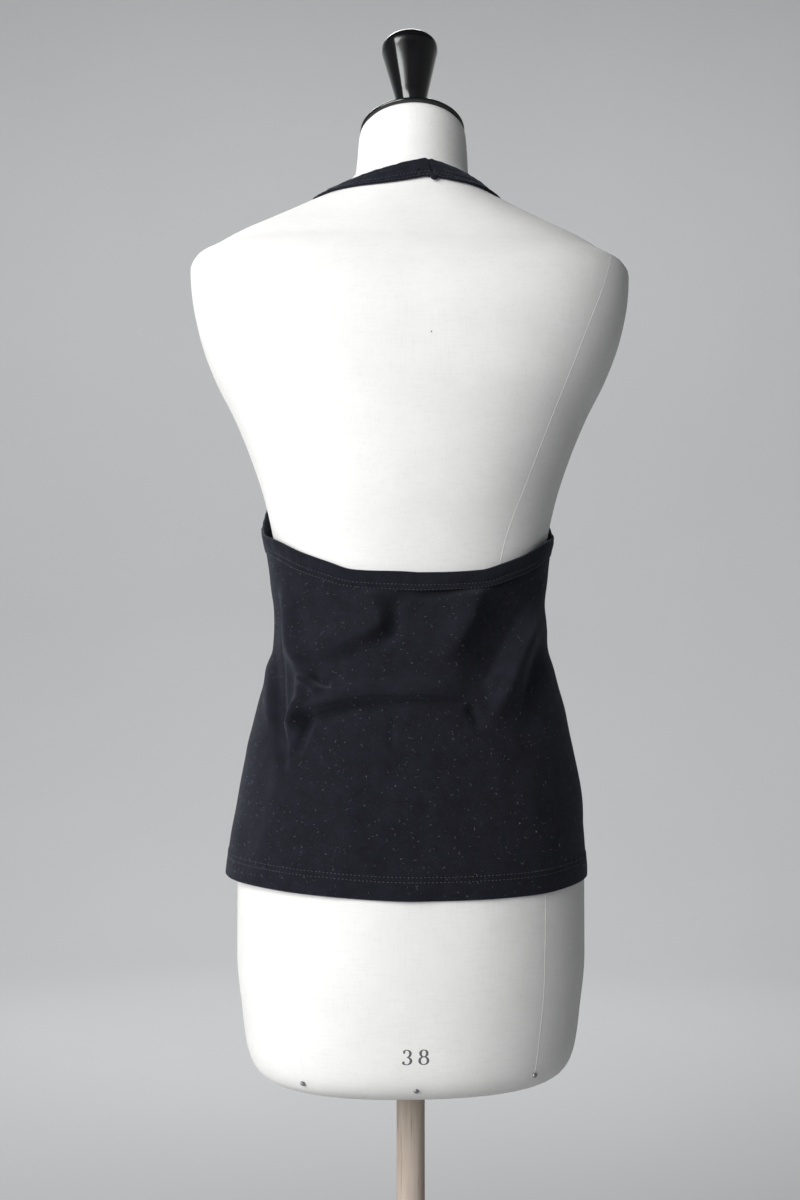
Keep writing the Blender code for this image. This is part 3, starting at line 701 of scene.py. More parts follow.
def tube(name: str, rings: np.ndarray, chart: np.ndarray, closed: bool) -> bpy.types.Object:
    """Join rings of points one to the next.

    Args:
        name: of the object.
        rings: points by station and place round the ring.
        chart: places on the cloth's own map, with one more round the ring.
        closed: whether the last ring joins the first; else both ends are capped.

    Returns:
        The new object.
    """
    stations, size = rings.shape[:2]
    points = rings.reshape(-1, 3)
    faces, places = [], []
    for k in range(stations if closed else stations - 1):
        after = (k + 1) % stations
        chart_after = min(k + 1, len(chart) - 1)
        for j in range(size):
            beside = (j + 1) % size
            faces.append((k * size + j, k * size + beside, after * size + beside, after * size + j))
            places += [chart[k, j], chart[k, j + 1], chart[chart_after, j + 1], chart[chart_after, j]]
    if not closed:
        faces.append(tuple(range(size))[::-1])
        faces.append(tuple((stations - 1) * size + j for j in range(size)))
        places += [chart[0, j] for j in range(size)][::-1] + [chart[-1, j] for j in range(size)]
    corners = points[np.array([face[:3] for face in faces if len(face) == 4])]
    centre = rings.mean(axis=1)[np.array([face[0] // size for face in faces if len(face) == 4])]
    facing = np.cross(corners[:, 1] - corners[:, 0], corners[:, 2] - corners[:, 0])
    if np.einsum("ij,ij->", facing, corners[:, 0] - centre) < 0:
        starts = np.cumsum([0] + [len(face) for face in faces])
        places = [places[k] for a, b in zip(starts, starts[1:]) for k in range(b - 1, a - 1, -1)]
        faces = [face[::-1] for face in faces]
    return new_object(name, points, faces, np.array(places))


def turned(name: str, profile: Sequence[Turn], segments: int, stand: Matrix) -> bpy.types.Object:
    """Spin a profile about +Z and stand it in the frame.

    Args:
        name: of the object.
        profile: listed from the top down the outer side.
        segments: round the piece.
        stand: where it stands.

    Returns:
        The new object.
    """
    shape = bmesh.new()
    points = [shape.verts.new((stop.radius, 0, stop.height)) for stop in profile]
    edges = [shape.edges.new(pair) for pair in zip(points, points[1:])]
    bmesh.ops.spin(shape, geom=points + edges, cent=(0, 0, 0), axis=(0, 0, 1),
                   angle=math.tau, steps=segments, use_merge=True)
    bmesh.ops.remove_doubles(shape, verts=shape.verts, dist=1e-6)
    bmesh.ops.recalc_face_normals(shape, faces=shape.faces)
    shape.transform(stand)
    mesh = bpy.data.meshes.new(name)
    shape.to_mesh(mesh)
    shape.free()
    mesh.shade_smooth()
    mesh.set_sharp_from_angle(angle=SHARP_ANGLE)
    return put(name, mesh)


def arc(centre: Turn, radius: float, start: float, stop: float, count: int) -> list[Turn]:
    """Return a profile's round stretch.

    Args:
        centre: of the circle.
        radius: of the circle.
        start: angle in degrees.
        stop: angle in degrees.
        count: of points.

    Returns:
        The stretch's points.
    """
    return [Turn(centre.radius + radius * math.cos(a), centre.height + radius * math.sin(a))
            for a in np.radians(np.linspace(start, stop, count))]


# ---------------------------------------------------------------- finishes
class Slot(Enum):
    """The record's material slots."""

    JERSEY = "jersey"
    LINEN = "form_linen"
    LACQUER = "black_lacquer"
    WOOD = "pale_wood"
    STEEL = "nail_steel"


class Nodes:
    """Adds nodes to a material's tree, with values by socket name and links by assignment."""

    def __init__(self, name: str) -> None:
        """Start a material with its shader and output."""
        self.material = bpy.data.materials.new(name)
        self.material.use_nodes = True
        self.tree = self.material.node_tree
        self.shader = self.tree.nodes["Principled BSDF"]
        self.places = self.tree.nodes.new("ShaderNodeTexCoord")

    def add(self, kind: str, **values: object) -> bpy.types.Node:
        """Add a node; a value is a setting, a socket's constant, or a socket to link from."""
        node = self.tree.nodes.new(kind)
        for key, value in values.items():
            if key in node.bl_rna.properties:
                setattr(node, key, value)
                continue
            socket = node.inputs[int(key[1:])] if key[1:].isdigit() else node.inputs[key.replace("_", " ")]
            self.feed(socket, value)
        return node

    def feed(self, socket: bpy.types.NodeSocket, value: object) -> None:
        """Link a socket, or set its constant."""
        if isinstance(value, bpy.types.NodeSocket):
            self.tree.links.new(value, socket)
        else:
            socket.default_value = value

    def set(self, **values: object) -> None:
        """Set or link the shader's sockets."""
        for key, value in values.items():
            self.feed(self.shader.inputs[key.replace("_", " ")], value)

    def stretched(self, size: tuple) -> bpy.types.NodeSocket:
        """Return the object's coordinates scaled along each axis."""
        return self.add("ShaderNodeMapping", Vector=self.places.outputs["Object"], Scale=size).outputs[0]

    def noise(self, scale: float, detail: float = 3.0, rough: float = 0.5,
              where: bpy.types.NodeSocket | None = None) -> bpy.types.NodeSocket:
        """Return a noise's value.

        Args:
            scale: of the noise.
            detail: how many finer layers it has.
            rough: how strong the finer layers are.
            where: the places, the object's own ones unless others are given.

        Returns:
            The noise's output.
        """
        where = where or self.places.outputs["Object"]
        return self.add("ShaderNodeTexNoise", Vector=where, Scale=scale, Detail=detail,
                        Roughness=rough).outputs[0]

    def ramp(self, value: bpy.types.NodeSocket, low: float, high: float,
             start: tuple, stop: tuple) -> bpy.types.NodeSocket:
        """Return a colour that runs from one to another as a value rises.

        Args:
            value: what rises.
            low: where the run starts.
            high: where it stops.
            start: the first colour.
            stop: the last colour.

        Returns:
            The colour's output.
        """
        node = self.add("ShaderNodeValToRGB", Fac=value)
        for element, place, colour in zip(node.color_ramp.elements, (low, high), (start, stop)):
            element.position = place
            element.color = (*colour, 1.0)
        return node.outputs[0]

    def mixed(self, share: object, first: object, second: object, blend: str = "MIX") -> bpy.types.NodeSocket:
        """Return a mix of two colours.

        Args:
            share: of the second one.
            first: a colour or an output.
            second: a colour or an output.
            blend: the way they mix.

        Returns:
            The mix's output.
        """
        node = self.add("ShaderNodeMix", data_type="RGBA", blend_type=blend)
        self.feed(node.inputs[0], share)
        for socket, value in ((node.inputs[6], first), (node.inputs[7], second)):
            self.feed(socket, (*value, 1.0) if isinstance(value, tuple) else value)
        return node.outputs[2]

    def math(self, operation: str, first: object, second: object = 0.0) -> bpy.types.NodeSocket:
        """Return a sum, product or other of two values.

        Args:
            operation: what is done.
            first: a number or an output.
            second: a number or an output.

        Returns:
            The result's output.
        """
        return self.add("ShaderNodeMath", operation=operation, _0=first, _1=second).outputs[0]

    def bumped(self, *layers: tuple) -> None:
        """Give the shader a bump made of layers of (height, depth in metres, strength)."""
        normal = None
        for height, depth, strength in layers:
            node = self.add("ShaderNodeBump", Strength=strength, Distance=depth, Height=height)
            if normal is not None:
                self.feed(node.inputs["Normal"], normal)
            normal = node.outputs[0]
        self.set(Normal=normal)


@dataclass(frozen=True)
class Jersey:
    """Near-black cotton jersey: fine wales, a mottled heather and a soft fibre sheen."""

    deep: tuple = (0.0042, 0.0044, 0.0077)
    mid: tuple = (0.0084, 0.0088, 0.0150)
    pale: tuple = (0.0250, 0.0270, 0.0375)
    wale: float = 0.00080
    course: float = 0.00062

    def material(self) -> bpy.types.Material:
        """Return the finish."""
        nodes = Nodes("jersey_knit")
        cloth = nodes.places.outputs["UV"]
        wave = nodes.noise(90.0, 3.0, 0.6)
        heather = nodes.noise(1500.0, 2.0, 0.8, nodes.stretched((1.0, 1.0, 0.45)))
        body = nodes.ramp(wave, 0.30, 0.72, self.deep, self.mid)
        flecks = nodes.ramp(heather, 0.52, 0.86, (0.0, 0.0, 0.0), (1.0, 1.0, 1.0))
        nodes.set(Base_Color=nodes.mixed(flecks, body, self.pale), Roughness=0.93,
                  Specular_IOR_Level=0.20, Sheen_Weight=0.15, Sheen_Roughness=0.42,
                  Sheen_Tint=(0.62, 0.68, 0.86, 1.0))
        split = nodes.add("ShaderNodeSeparateXYZ", Vector=cloth)
        wales = nodes.math("MULTIPLY", split.outputs[0], math.tau / self.wale)
        courses = nodes.math("MULTIPLY", split.outputs[1], math.tau / self.course)
        ribs = nodes.math("ABSOLUTE", nodes.math("SINE", nodes.math("MULTIPLY", wales, 0.5)))
        slant = nodes.math("ADD", courses, nodes.math("MULTIPLY", ribs, 2.2))
        loops = nodes.math("MULTIPLY", nodes.math("SINE", slant), 0.5)
        knit = nodes.math("ADD", ribs, loops)
        nodes.bumped((wave, 0.0012, 0.25), (knit, 0.00016, 0.55), (heather, 0.00022, 0.55))
        return nodes.material


@dataclass(frozen=True)
class Thread:
    """Sewing thread, a shade lighter than the cloth."""

    colour: tuple = (0.034, 0.037, 0.052)

    def material(self) -> bpy.types.Material:
        """Return the finish."""
        nodes = Nodes("blue_grey_thread")
        twist = nodes.noise(2600.0, 1.0)
        darker = tuple(part * 0.6 for part in self.colour)
        nodes.set(Base_Color=nodes.ramp(twist, 0.35, 0.65, darker, self.colour), Roughness=0.6,
                  Sheen_Weight=0.3)
        nodes.bumped((twist, 0.0001, 0.5))
        return nodes.material


@dataclass(frozen=True)
class Lint:
    """Loose pale cotton fibres."""

    colour: tuple = (0.017, 0.018, 0.025)

    def material(self) -> bpy.types.Material:
        """Return the finish."""
        nodes = Nodes("cotton_lint")
        tone = nodes.noise(120.0, 1.0)
        darker = tuple(part * 0.4 for part in self.colour)
        nodes.set(Base_Color=nodes.ramp(tone, 0.35, 0.7, darker, self.colour), Roughness=0.9,
                  Specular_IOR_Level=0.1)
        return nodes.material


@dataclass(frozen=True)
class Linen:
    """Off-white linen cover: a fine plain weave with slubs, and a little tone."""

    pale: tuple = (0.835, 0.832, 0.822)
    grey: tuple = (0.785, 0.781, 0.768)
    thread: float = 0.00065

    def material(self) -> bpy.types.Material:
        """Return the finish."""
        nodes = Nodes("linen_cover")
        tone = nodes.noise(22.0, 4.0, 0.6)
        slub_up = nodes.noise(900.0, 2.0, 0.6, nodes.stretched((1.0, 1.0, 0.06)))
        slub_round = nodes.noise(900.0, 2.0, 0.6, nodes.stretched((0.08, 0.08, 1.0)))
        slubs = nodes.math("ADD", slub_up, slub_round)
        body = nodes.ramp(tone, 0.30, 0.75, self.grey, self.pale)
        shade = nodes.ramp(slubs, 0.75, 1.25, (0.955, 0.953, 0.945), (1.0, 1.0, 1.0))
        nodes.set(Base_Color=nodes.mixed(1.0, body, shade, "MULTIPLY"), Roughness=0.88,
                  Specular_IOR_Level=0.25, Sheen_Weight=0.12, Sheen_Roughness=0.5)
        split = nodes.add("ShaderNodeSeparateXYZ", Vector=nodes.places.outputs["UV"])
        warp = nodes.math("SINE", nodes.math("MULTIPLY", split.outputs[0], math.tau / self.thread))
        weft = nodes.math("SINE", nodes.math("MULTIPLY", split.outputs[1], math.tau / self.thread))
        nodes.bumped((tone, 0.002, 0.05), (slubs, 0.00018, 0.35),
                     (nodes.math("MULTIPLY", warp, weft), 0.00008, 0.35))
        return nodes.material


@dataclass(frozen=True)
class Lacquer:
    """Gloss black lacquer over turned wood, with dust and a faint ripple."""

    black: tuple = (0.0035, 0.0035, 0.0042)

    def material(self) -> bpy.types.Material:
        """Return the finish."""
        nodes = Nodes("gloss_black_lacquer")
        dust = nodes.noise(700.0, 4.0, 0.7)
        ripple = nodes.noise(60.0, 2.0)
        speck = nodes.ramp(dust, 0.60, 0.80, self.black, (0.02, 0.021, 0.023))
        rough = nodes.ramp(dust, 0.30, 0.80, (0.09,) * 3, (0.24,) * 3)
        nodes.set(Base_Color=speck, Roughness=rough, Coat_Weight=0.5, Coat_Roughness=0.06)
        nodes.bumped((ripple, 0.0006, 0.12), (dust, 0.00006, 0.25))
        return nodes.material


@dataclass(frozen=True)
class Wood:
    """Pale waxed beech with its grain along one axis."""

    name: str
    along: tuple
    pale: tuple = (0.500, 0.425, 0.360)
    brown: tuple = (0.330, 0.262, 0.208)

    def material(self) -> bpy.types.Material:
        """Return the finish."""
        nodes = Nodes(self.name)
        grain_at = nodes.stretched(self.along)
        grain = nodes.noise(70.0, 6.0, 0.65, grain_at)
        flecks = nodes.noise(420.0, 2.0, 0.5, grain_at)
        wash = nodes.noise(9.0, 3.0, 0.6)
        body = nodes.ramp(grain, 0.36, 0.64, self.brown, self.pale)
        dark = nodes.ramp(flecks, 0.60, 0.70, (1.0, 1.0, 1.0), (0.70, 0.66, 0.62))
        body = nodes.mixed(1.0, body, dark, "MULTIPLY")
        white = nodes.ramp(wash, 0.35, 0.75, (0.0, 0.0, 0.0), (0.35, 0.35, 0.35))
        nodes.set(Base_Color=nodes.mixed(white, body, (0.56, 0.51, 0.46)),
                  Roughness=nodes.ramp(grain, 0.3, 0.7, (0.50,) * 3, (0.66,) * 3),
                  Specular_IOR_Level=0.35)
        nodes.bumped((grain, 0.0004, 0.25), (flecks, 0.0002, 0.3))
        return nodes.material


@dataclass(frozen=True)
class Steel:
    """Dull nail steel with fine scratches."""

    tone: tuple = (0.46, 0.46, 0.47)

    def material(self) -> bpy.types.Material:
        """Return the finish."""
        nodes = Nodes("dull_nail_steel")
        wear = nodes.noise(1800.0, 3.0, 0.6)
        darker = tuple(part * 0.5 for part in self.tone)
        nodes.set(Base_Color=nodes.ramp(wear, 0.3, 0.7, darker, self.tone), Metallic=1.0,
                  Roughness=nodes.ramp(wear, 0.3, 0.7, (0.26,) * 3, (0.45,) * 3))
        return nodes.material


@dataclass(frozen=True)
class Ink:
    """Grey printing ink, worn thin in places."""

    grey: tuple = (0.105, 0.107, 0.112)

    def material(self) -> bpy.types.Material:
        """Return the finish."""
        nodes = Nodes("grey_print_ink")
        worn = nodes.noise(1300.0, 3.0, 0.7)
        thin = (0.30, 0.30, 0.30)
        nodes.set(Base_Color=nodes.ramp(worn, 0.56, 0.74, self.grey, thin), Roughness=0.85)
        return nodes.material


@dataclass(frozen=True)
class Backdrop:
    """Plain pale studio paper."""

    pale: tuple = (0.44, 0.445, 0.45)

    def material(self) -> bpy.types.Material:
        """Return the finish."""
        nodes = Nodes("studio_paper")
        tone = nodes.noise(0.8, 2.0)
        darker = tuple(part * 0.97 for part in self.pale)
        nodes.set(Base_Color=nodes.ramp(tone, 0.3, 0.7, darker, self.pale), Roughness=0.95,
                  Specular_IOR_Level=0.1)
        return nodes.material


# ---------------------------------------------------------------- what repeats, by Geometry Nodes
class RepeatTree:
    """A Geometry Nodes tree with named inputs, built node by node."""

    def __init__(self, name: str, inputs: dict[str, tuple[str, object]]) -> None:
        """Start a tree.

        Args:
            name: of the tree.
            inputs: each named input's kind and usual value.
        """
        self.tree = bpy.data.node_groups.new(name, "GeometryNodeTree")
        self.tree.interface.new_socket("Geometry", in_out="INPUT", socket_type="NodeSocketGeometry")
        self.tree.interface.new_socket("Geometry", in_out="OUTPUT", socket_type="NodeSocketGeometry")
        self.keys = {}
        for key, (kind, value) in inputs.items():
            socket = self.tree.interface.new_socket(key, in_out="INPUT", socket_type=f"NodeSocket{kind}")
            if value is not None:
                socket.default_value = value
            self.keys[key] = socket.identifier
        self.source = self.tree.nodes.new("NodeGroupInput")
        self.out = self.tree.nodes.new("NodeGroupOutput")

    def add(self, kind: str, settings: dict[str, object] | None = None, **values: object) -> bpy.types.Node:
        """Add a node with its settings, and link or set its sockets by name."""
        node = self.tree.nodes.new(kind)
        for key, value in (settings or {}).items():
            setattr(node, key, value)
        for key, value in values.items():
            socket = node.inputs[int(key[1:])] if key[1:].isdigit() else node.inputs[key.replace("_", " ")]
            if isinstance(value, bpy.types.NodeSocket):
                self.tree.links.new(value, socket)
            else:
                socket.default_value = value
        return node

    def end(self, geometry: bpy.types.NodeSocket) -> None:
        """Realize what the tree makes and give it its material."""
        real = self.add("GeometryNodeRealizeInstances", Geometry=geometry)
        dressed = self.add("GeometryNodeSetMaterial", Geometry=real.outputs[0],
                           Material=self.source.outputs["Material"])
        self.tree.links.new(dressed.outputs[0], self.out.inputs[0])

    def run(self, carrier: bpy.types.Object, name: str, **values: object) -> bpy.types.Object:
        """Run the tree on an object and replace that object with the plain mesh it makes.

        Args:
            carrier: the object whose mesh the tree reads.
            name: of the new piece.
            values: the tree's inputs, with underscores for spaces.

        Returns:
            The new piece.
        """
        modifier = carrier.modifiers.new("repeat", "NODES")
        modifier.node_group = self.tree
        for key, value in values.items():
            modifier[self.keys[key.replace("_", " ")]] = value
        graph = bpy.context.evaluated_depsgraph_get()
        mesh = bpy.data.meshes.new_from_object(carrier.evaluated_get(graph))
        carrier.modifiers.remove(modifier)
        mesh.name = name
        bpy.data.objects.remove(carrier)
        mesh.shade_smooth()
        return put(name, mesh)


class StitchTree(RepeatTree):
    """Lays short thread stitches along a path, each turned to face out of the cloth."""

    pitch: float = 0.0033
    length: float = 0.0016
    width: float = 0.00062
    lift: float = 0.0001

    def __init__(self) -> None:
        """Build the tree."""
        super().__init__("stitch_row", {
            "Pitch": ("Float", self.pitch), "Length": ("Float", self.length),
            "Width": ("Float", self.width), "Seed": ("Int", 1), "Material": ("Material", None)})
        given = self.source.outputs
        curve = self.add("GeometryNodeMeshToCurve", Mesh=given["Geometry"])
        places = self.add("GeometryNodeResampleCurve", {"mode": "LENGTH"}, Curve=curve.outputs[0],
                          Length=given["Pitch"])
        facing = self.add("GeometryNodeInputNamedAttribute", {"data_type": "FLOAT_VECTOR"}, Name="facing")
        tangent = self.add("GeometryNodeInputTangent")
        along = self.add("FunctionNodeAlignRotationToVector", {"axis": "X"}, Vector=tangent.outputs[0])
        turned_out = self.add("FunctionNodeAlignRotationToVector", {"axis": "Z", "pivot_axis": "X"},
                              Rotation=along.outputs[0], Vector=facing.outputs[0])
        size = self.add("ShaderNodeCombineXYZ", X=given["Length"], Y=given["Width"], Z=given["Width"])
        bead = self.add("GeometryNodeMeshUVSphere", Segments=6, Rings=4, Radius=0.5)
        stitch = self.add("GeometryNodeTransform", Geometry=bead.outputs[0], Scale=size.outputs[0])
        vary = self.add("FunctionNodeRandomValue", {"data_type": "FLOAT_VECTOR"}, Seed=given["Seed"],
                        Min=(0.82, 0.85, 0.8), Max=(1.08, 1.1, 1.1))
        laid = self.add("GeometryNodeInstanceOnPoints", Points=places.outputs[0],
                        Instance=stitch.outputs[0], Rotation=turned_out.outputs[0], Scale=vary.outputs[0])
        self.end(laid.outputs[0])

    def sew(self, name: str, path: np.ndarray, ways: np.ndarray, seed: int,
            thread: bpy.types.Material, closed: bool = False) -> bpy.types.Object:
        """Sew a row of stitches.

        Args:
            name: of the row.
            path: points on the cloth.
            ways: the ways out of the cloth there.
            seed: of the stitches' unevenness.
            thread: the stitches' finish.
            closed: whether the row is a ring.

        Returns:
            The row.
        """
        carrier = path_carrier(path + ways * self.lift, ways, closed)
        return self.run(carrier, name, Pitch=self.pitch, Length=self.length, Width=self.width,
                        Seed=seed, Material=thread)


class WeltTree(RepeatTree):
    """Runs a fine round welt along a path."""

    def __init__(self) -> None:
        """Build the tree."""
        super().__init__("seam_welt", {"Radius": ("Float", 0.0006), "Pitch": ("Float", 0.004),
                                       "Material": ("Material", None)})
        given = self.source.outputs
        curve = self.add("GeometryNodeMeshToCurve", Mesh=given["Geometry"])
        path = self.add("GeometryNodeResampleCurve", {"mode": "LENGTH"}, Curve=curve.outputs[0],
                        Length=given["Pitch"])
        profile = self.add("GeometryNodeCurvePrimitiveCircle", Resolution=8, Radius=given["Radius"])
        welt = self.add("GeometryNodeCurveToMesh", Curve=path.outputs[0], Profile_Curve=profile.outputs[0],
                        Fill_Caps=True)
        self.end(welt.outputs[0])


class LintTree(RepeatTree):
    """Scatters short bent fibres over a surface."""

    def __init__(self) -> None:
        """Build the tree."""
        super().__init__("lint_scatter", {"Density": ("Float", 5000.0), "Length": ("Float", 0.0016),
                                          "Thickness": ("Float", 0.00005), "Seed": ("Int", 3),
                                          "Material": ("Material", None)})
        given = self.source.outputs
        spots = self.add("GeometryNodeDistributePointsOnFaces", Mesh=given["Geometry"],
                         Density=given["Density"], Seed=given["Seed"])
        bend = self.add("GeometryNodeCurveQuadraticBezier", Resolution=4, Start=(-0.5, 0.0, 0.0),
                        Middle=(0.0, 0.45, 0.22), End=(0.5, 0.0, 0.05))
        scale = self.add("ShaderNodeCombineXYZ", X=given["Length"], Y=given["Length"], Z=given["Length"])
        path = self.add("GeometryNodeTransform", Geometry=bend.outputs[0], Scale=scale.outputs[0])
        profile = self.add("GeometryNodeCurvePrimitiveCircle", Resolution=3, Radius=given["Thickness"])
        fibre = self.add("GeometryNodeCurveToMesh", Curve=path.outputs[0], Profile_Curve=profile.outputs[0],
                         Fill_Caps=True)
        spin = self.add("FunctionNodeRandomValue", {"data_type": "FLOAT_VECTOR"}, Seed=given["Seed"],
                        Min=(0.0, 0.0, 0.0), Max=(0.2, 0.2, math.tau))
        turned_by = self.add("FunctionNodeRotateRotation", {"rotation_space": "LOCAL"},
                             Rotation=spots.outputs["Rotation"], Rotate_By=spin.outputs[0])
        vary = self.add("FunctionNodeRandomValue", {"data_type": "FLOAT_VECTOR"}, Seed=given["Seed"],
                        Min=(0.45, 0.45, 0.8), Max=(1.6, 1.4, 1.0))
        laid = self.add("GeometryNodeInstanceOnPoints", Points=spots.outputs[0], Instance=fibre.outputs[0],
                        Rotation=turned_by.outputs[0], Scale=vary.outputs[0])
        self.end(laid.outputs[0])


def path_carrier(points: np.ndarray, facing: np.ndarray, closed: bool = False) -> bpy.types.Object:
    """Make an object of edges along a path.

    Args:
        points: the path.
        facing: the way that each point faces.
        closed: whether the path is a ring.

    Returns:
        The new object.
    """
    mesh = bpy.data.meshes.new("path")
    count = len(points)
    edges = [(k, k + 1) for k in range(count - 1)] + ([(count - 1, 0)] if closed else [])
    mesh.from_pydata(points.tolist(), edges, [])
    ways = mesh.attributes.new("facing", "FLOAT_VECTOR", "POINT")
    ways.data.foreach_set("vector", facing.astype(np.float32).ravel())
    return put("path", mesh)


def joined(pieces: Sequence[bpy.types.Object], name: str) -> bpy.types.Object:
    """Join plain mesh pieces of one material into one."""
    shape = bmesh.new()
    for piece in pieces:
        shape.from_mesh(piece.data)
    mesh = bpy.data.meshes.new(name)
    shape.to_mesh(mesh)
    shape.free()
    mesh.materials.append(pieces[0].data.materials[0])
    mesh.shade_smooth()
    for piece in pieces:
        bpy.data.objects.remove(piece)
    return put(name, mesh)


def dress(piece: bpy.types.Object, material: bpy.types.Material, slot: Slot, *nodes: str) -> None:
    """Give a piece its finish and its place in the frame.

    Args:
        piece: the finished piece.
        material: its finish.
        slot: not used.
        nodes: the CAD nodes that it stands for.
    """
    piece.data.materials.clear()
    piece.data.materials.append(material)
    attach(piece, "root")
    if nodes:
        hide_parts(*nodes)
    LOG.info("%s: %d faces", piece.name, len(piece.data.polygons))


# ---------------------------------------------------------------- the garment
@dataclass
class StitchedBand:
    """A folded band between two lines of the cloth, closed by two rows of stitches."""

    name: str
    node: str
    outer: np.ndarray
    inner: np.ndarray
    width: float
    closed: bool = False
    thickness: float = 0.0022
    rows: tuple[float, float] = (0.0112, 0.0152)
    pitch: float = 0.0022
    seam_at: float | None = None
    seam_slant: float = 0.17
    edge_round: float = 0.0011
    puff: float = 0.0003
    groove: float = 0.00035
    groove_width: float = 0.0007
    groove_wave: float = 0.0071
    loose_edge: float = 0.7
    end_fade: float = 0.02

    def across(self) -> np.ndarray:
        """Return the places across the band where its faces have points."""
        even = np.linspace(0.0, self.width, 21)
        extra = [row + off for row in self.rows for off in (-0.0009, -0.0004, 0.0, 0.0004, 0.0009)]
        ends = [0.0004, 0.0009, self.width - 0.0004]
        places = np.unique(np.round(np.concatenate((even, extra, ends)), 6))
        return places[(places >= 0) & (places <= self.width)]

    def base(self, across: np.ndarray) -> tuple[np.ndarray, np.ndarray, np.ndarray]:
        """Return the band's inner face, the ways that it faces and the distance along it."""
        count = int(lengths(self.outer)[-1] / self.pitch)
        outer, inner = evened(self.outer, count), evened(self.inner, count)
        if self.closed:
            outer, inner = outer[:-1], inner[:-1]
        part = across[None, :, None] / self.width
        place = outer[:, None] + (inner - outer)[:, None] * part
        surface = BODY.point(place[..., 0], place[..., 1])
        normal = BODY.normal(place[..., 0], place[..., 1])
        start = BODY.point(outer[:, 0], outer[:, 1])[:, None]
        stop = BODY.point(inner[:, 0], inner[:, 1])[:, None]
        chord = start + (stop - start) * part
        rise = np.maximum(np.einsum("...k,...k", surface - chord, normal), 0.0)[..., None]
        return chord + normal * rise, normal, lengths(outer)

    def profile(self, across: np.ndarray, reach: np.ndarray) -> np.ndarray:
        """Return the outer face's height over the inner one."""
        near_fold = np.clip(1 - across / self.edge_round, 0.0, 1.0)
        near_seam = np.clip(1 - (self.width - across) / (self.edge_round * 0.7), 0.0, 1.0)
        height = self.thickness * (0.5 + 0.5 * np.sqrt(1 - np.maximum(near_fold, near_seam) ** 2))
        height = height + self.puff * np.sin(math.pi * np.clip(across / self.rows[0], 0, 1))
        height = np.repeat(height[None, :], len(reach), axis=0)
        for row in self.rows:
            depth = self.groove * (0.75 + 0.25 * np.sin(reach * math.tau / self.groove_wave + row * 9000))
            height -= depth[:, None] * bell(across - row, self.groove_width)
        aside, along = np.meshgrid(across, reach)
        return height + Waves(11, 18, 0.005, 0.018, 0.00016).lift_at(along, aside)

    def build(self, thread: bpy.types.Material, stitches: StitchTree) -> tuple:
        """Build the band.

        Args:
            thread: the stitches' finish.
            stitches: what lays them.

        Returns:
            The band's piece and its rows of stitches.
        """
        across = self.across()
        base, normal, reach = self.base(across)
        height = self.profile(across, reach)
        sway = Waves(5, 10, 0.05, 0.14, 0.0004).lift_at(reach, 0 * reach)
        ease = Waves(23, 12, 0.03, 0.09, 0.0003).lift_at(reach, 0 * reach)
        if not self.closed:
            fade = eased(np.minimum(reach, reach[-1] - reach) / self.end_fade)
            sway, ease = sway * fade, ease * fade
        down = unit(base[:, -1] - base[:, 0])
        loose = (1 - across / self.width) * self.loose_edge
        base = base + down[:, None] * (sway[:, None] * loose)[..., None]
        base = base + normal * (np.abs(ease)[:, None] * loose)[..., None]
        if self.seam_at is not None:
            height = height + self.seam(across, reach)
        outside = base + normal * height[..., None]
        outside[:, 0] = base[:, 0] + normal[:, 0] * (self.thickness / 2)
        inside = base[:, ::2][:, ::-1]
        rings = np.concatenate((outside, inside), axis=1)
        around = run_along(np.concatenate((rings, rings[:, :1]), axis=1), 1)
        lengthwise = np.repeat(reach[:, None], around.shape[1], axis=1)
        piece = tube(self.name, rings, np.stack((lengthwise, around), -1), self.closed)
        sewn = []
        for seed, row in enumerate(self.rows):
            column = int(np.argmin(np.abs(across - row)))
            sewn.append(stitches.sew(f"{self.name}_row", outside[:, column], normal[:, column],
                                     seed + 3, thread, self.closed))
        return piece, sewn

    def seam(self, across: np.ndarray, reach: np.ndarray) -> np.ndarray:
        """Return the ridge and groove of the seam that closes a round band."""
        centre = self.seam_at + (across[None, :] - self.width / 2) * self.seam_slant
        off = reach[:, None] - centre
        ridge = 0.0009 * bell(off - 0.0026, 0.0022) + 0.0006 * bell(off + 0.0030, 0.0020)
        return ridge - 0.0016 * bell(off, 0.0008)


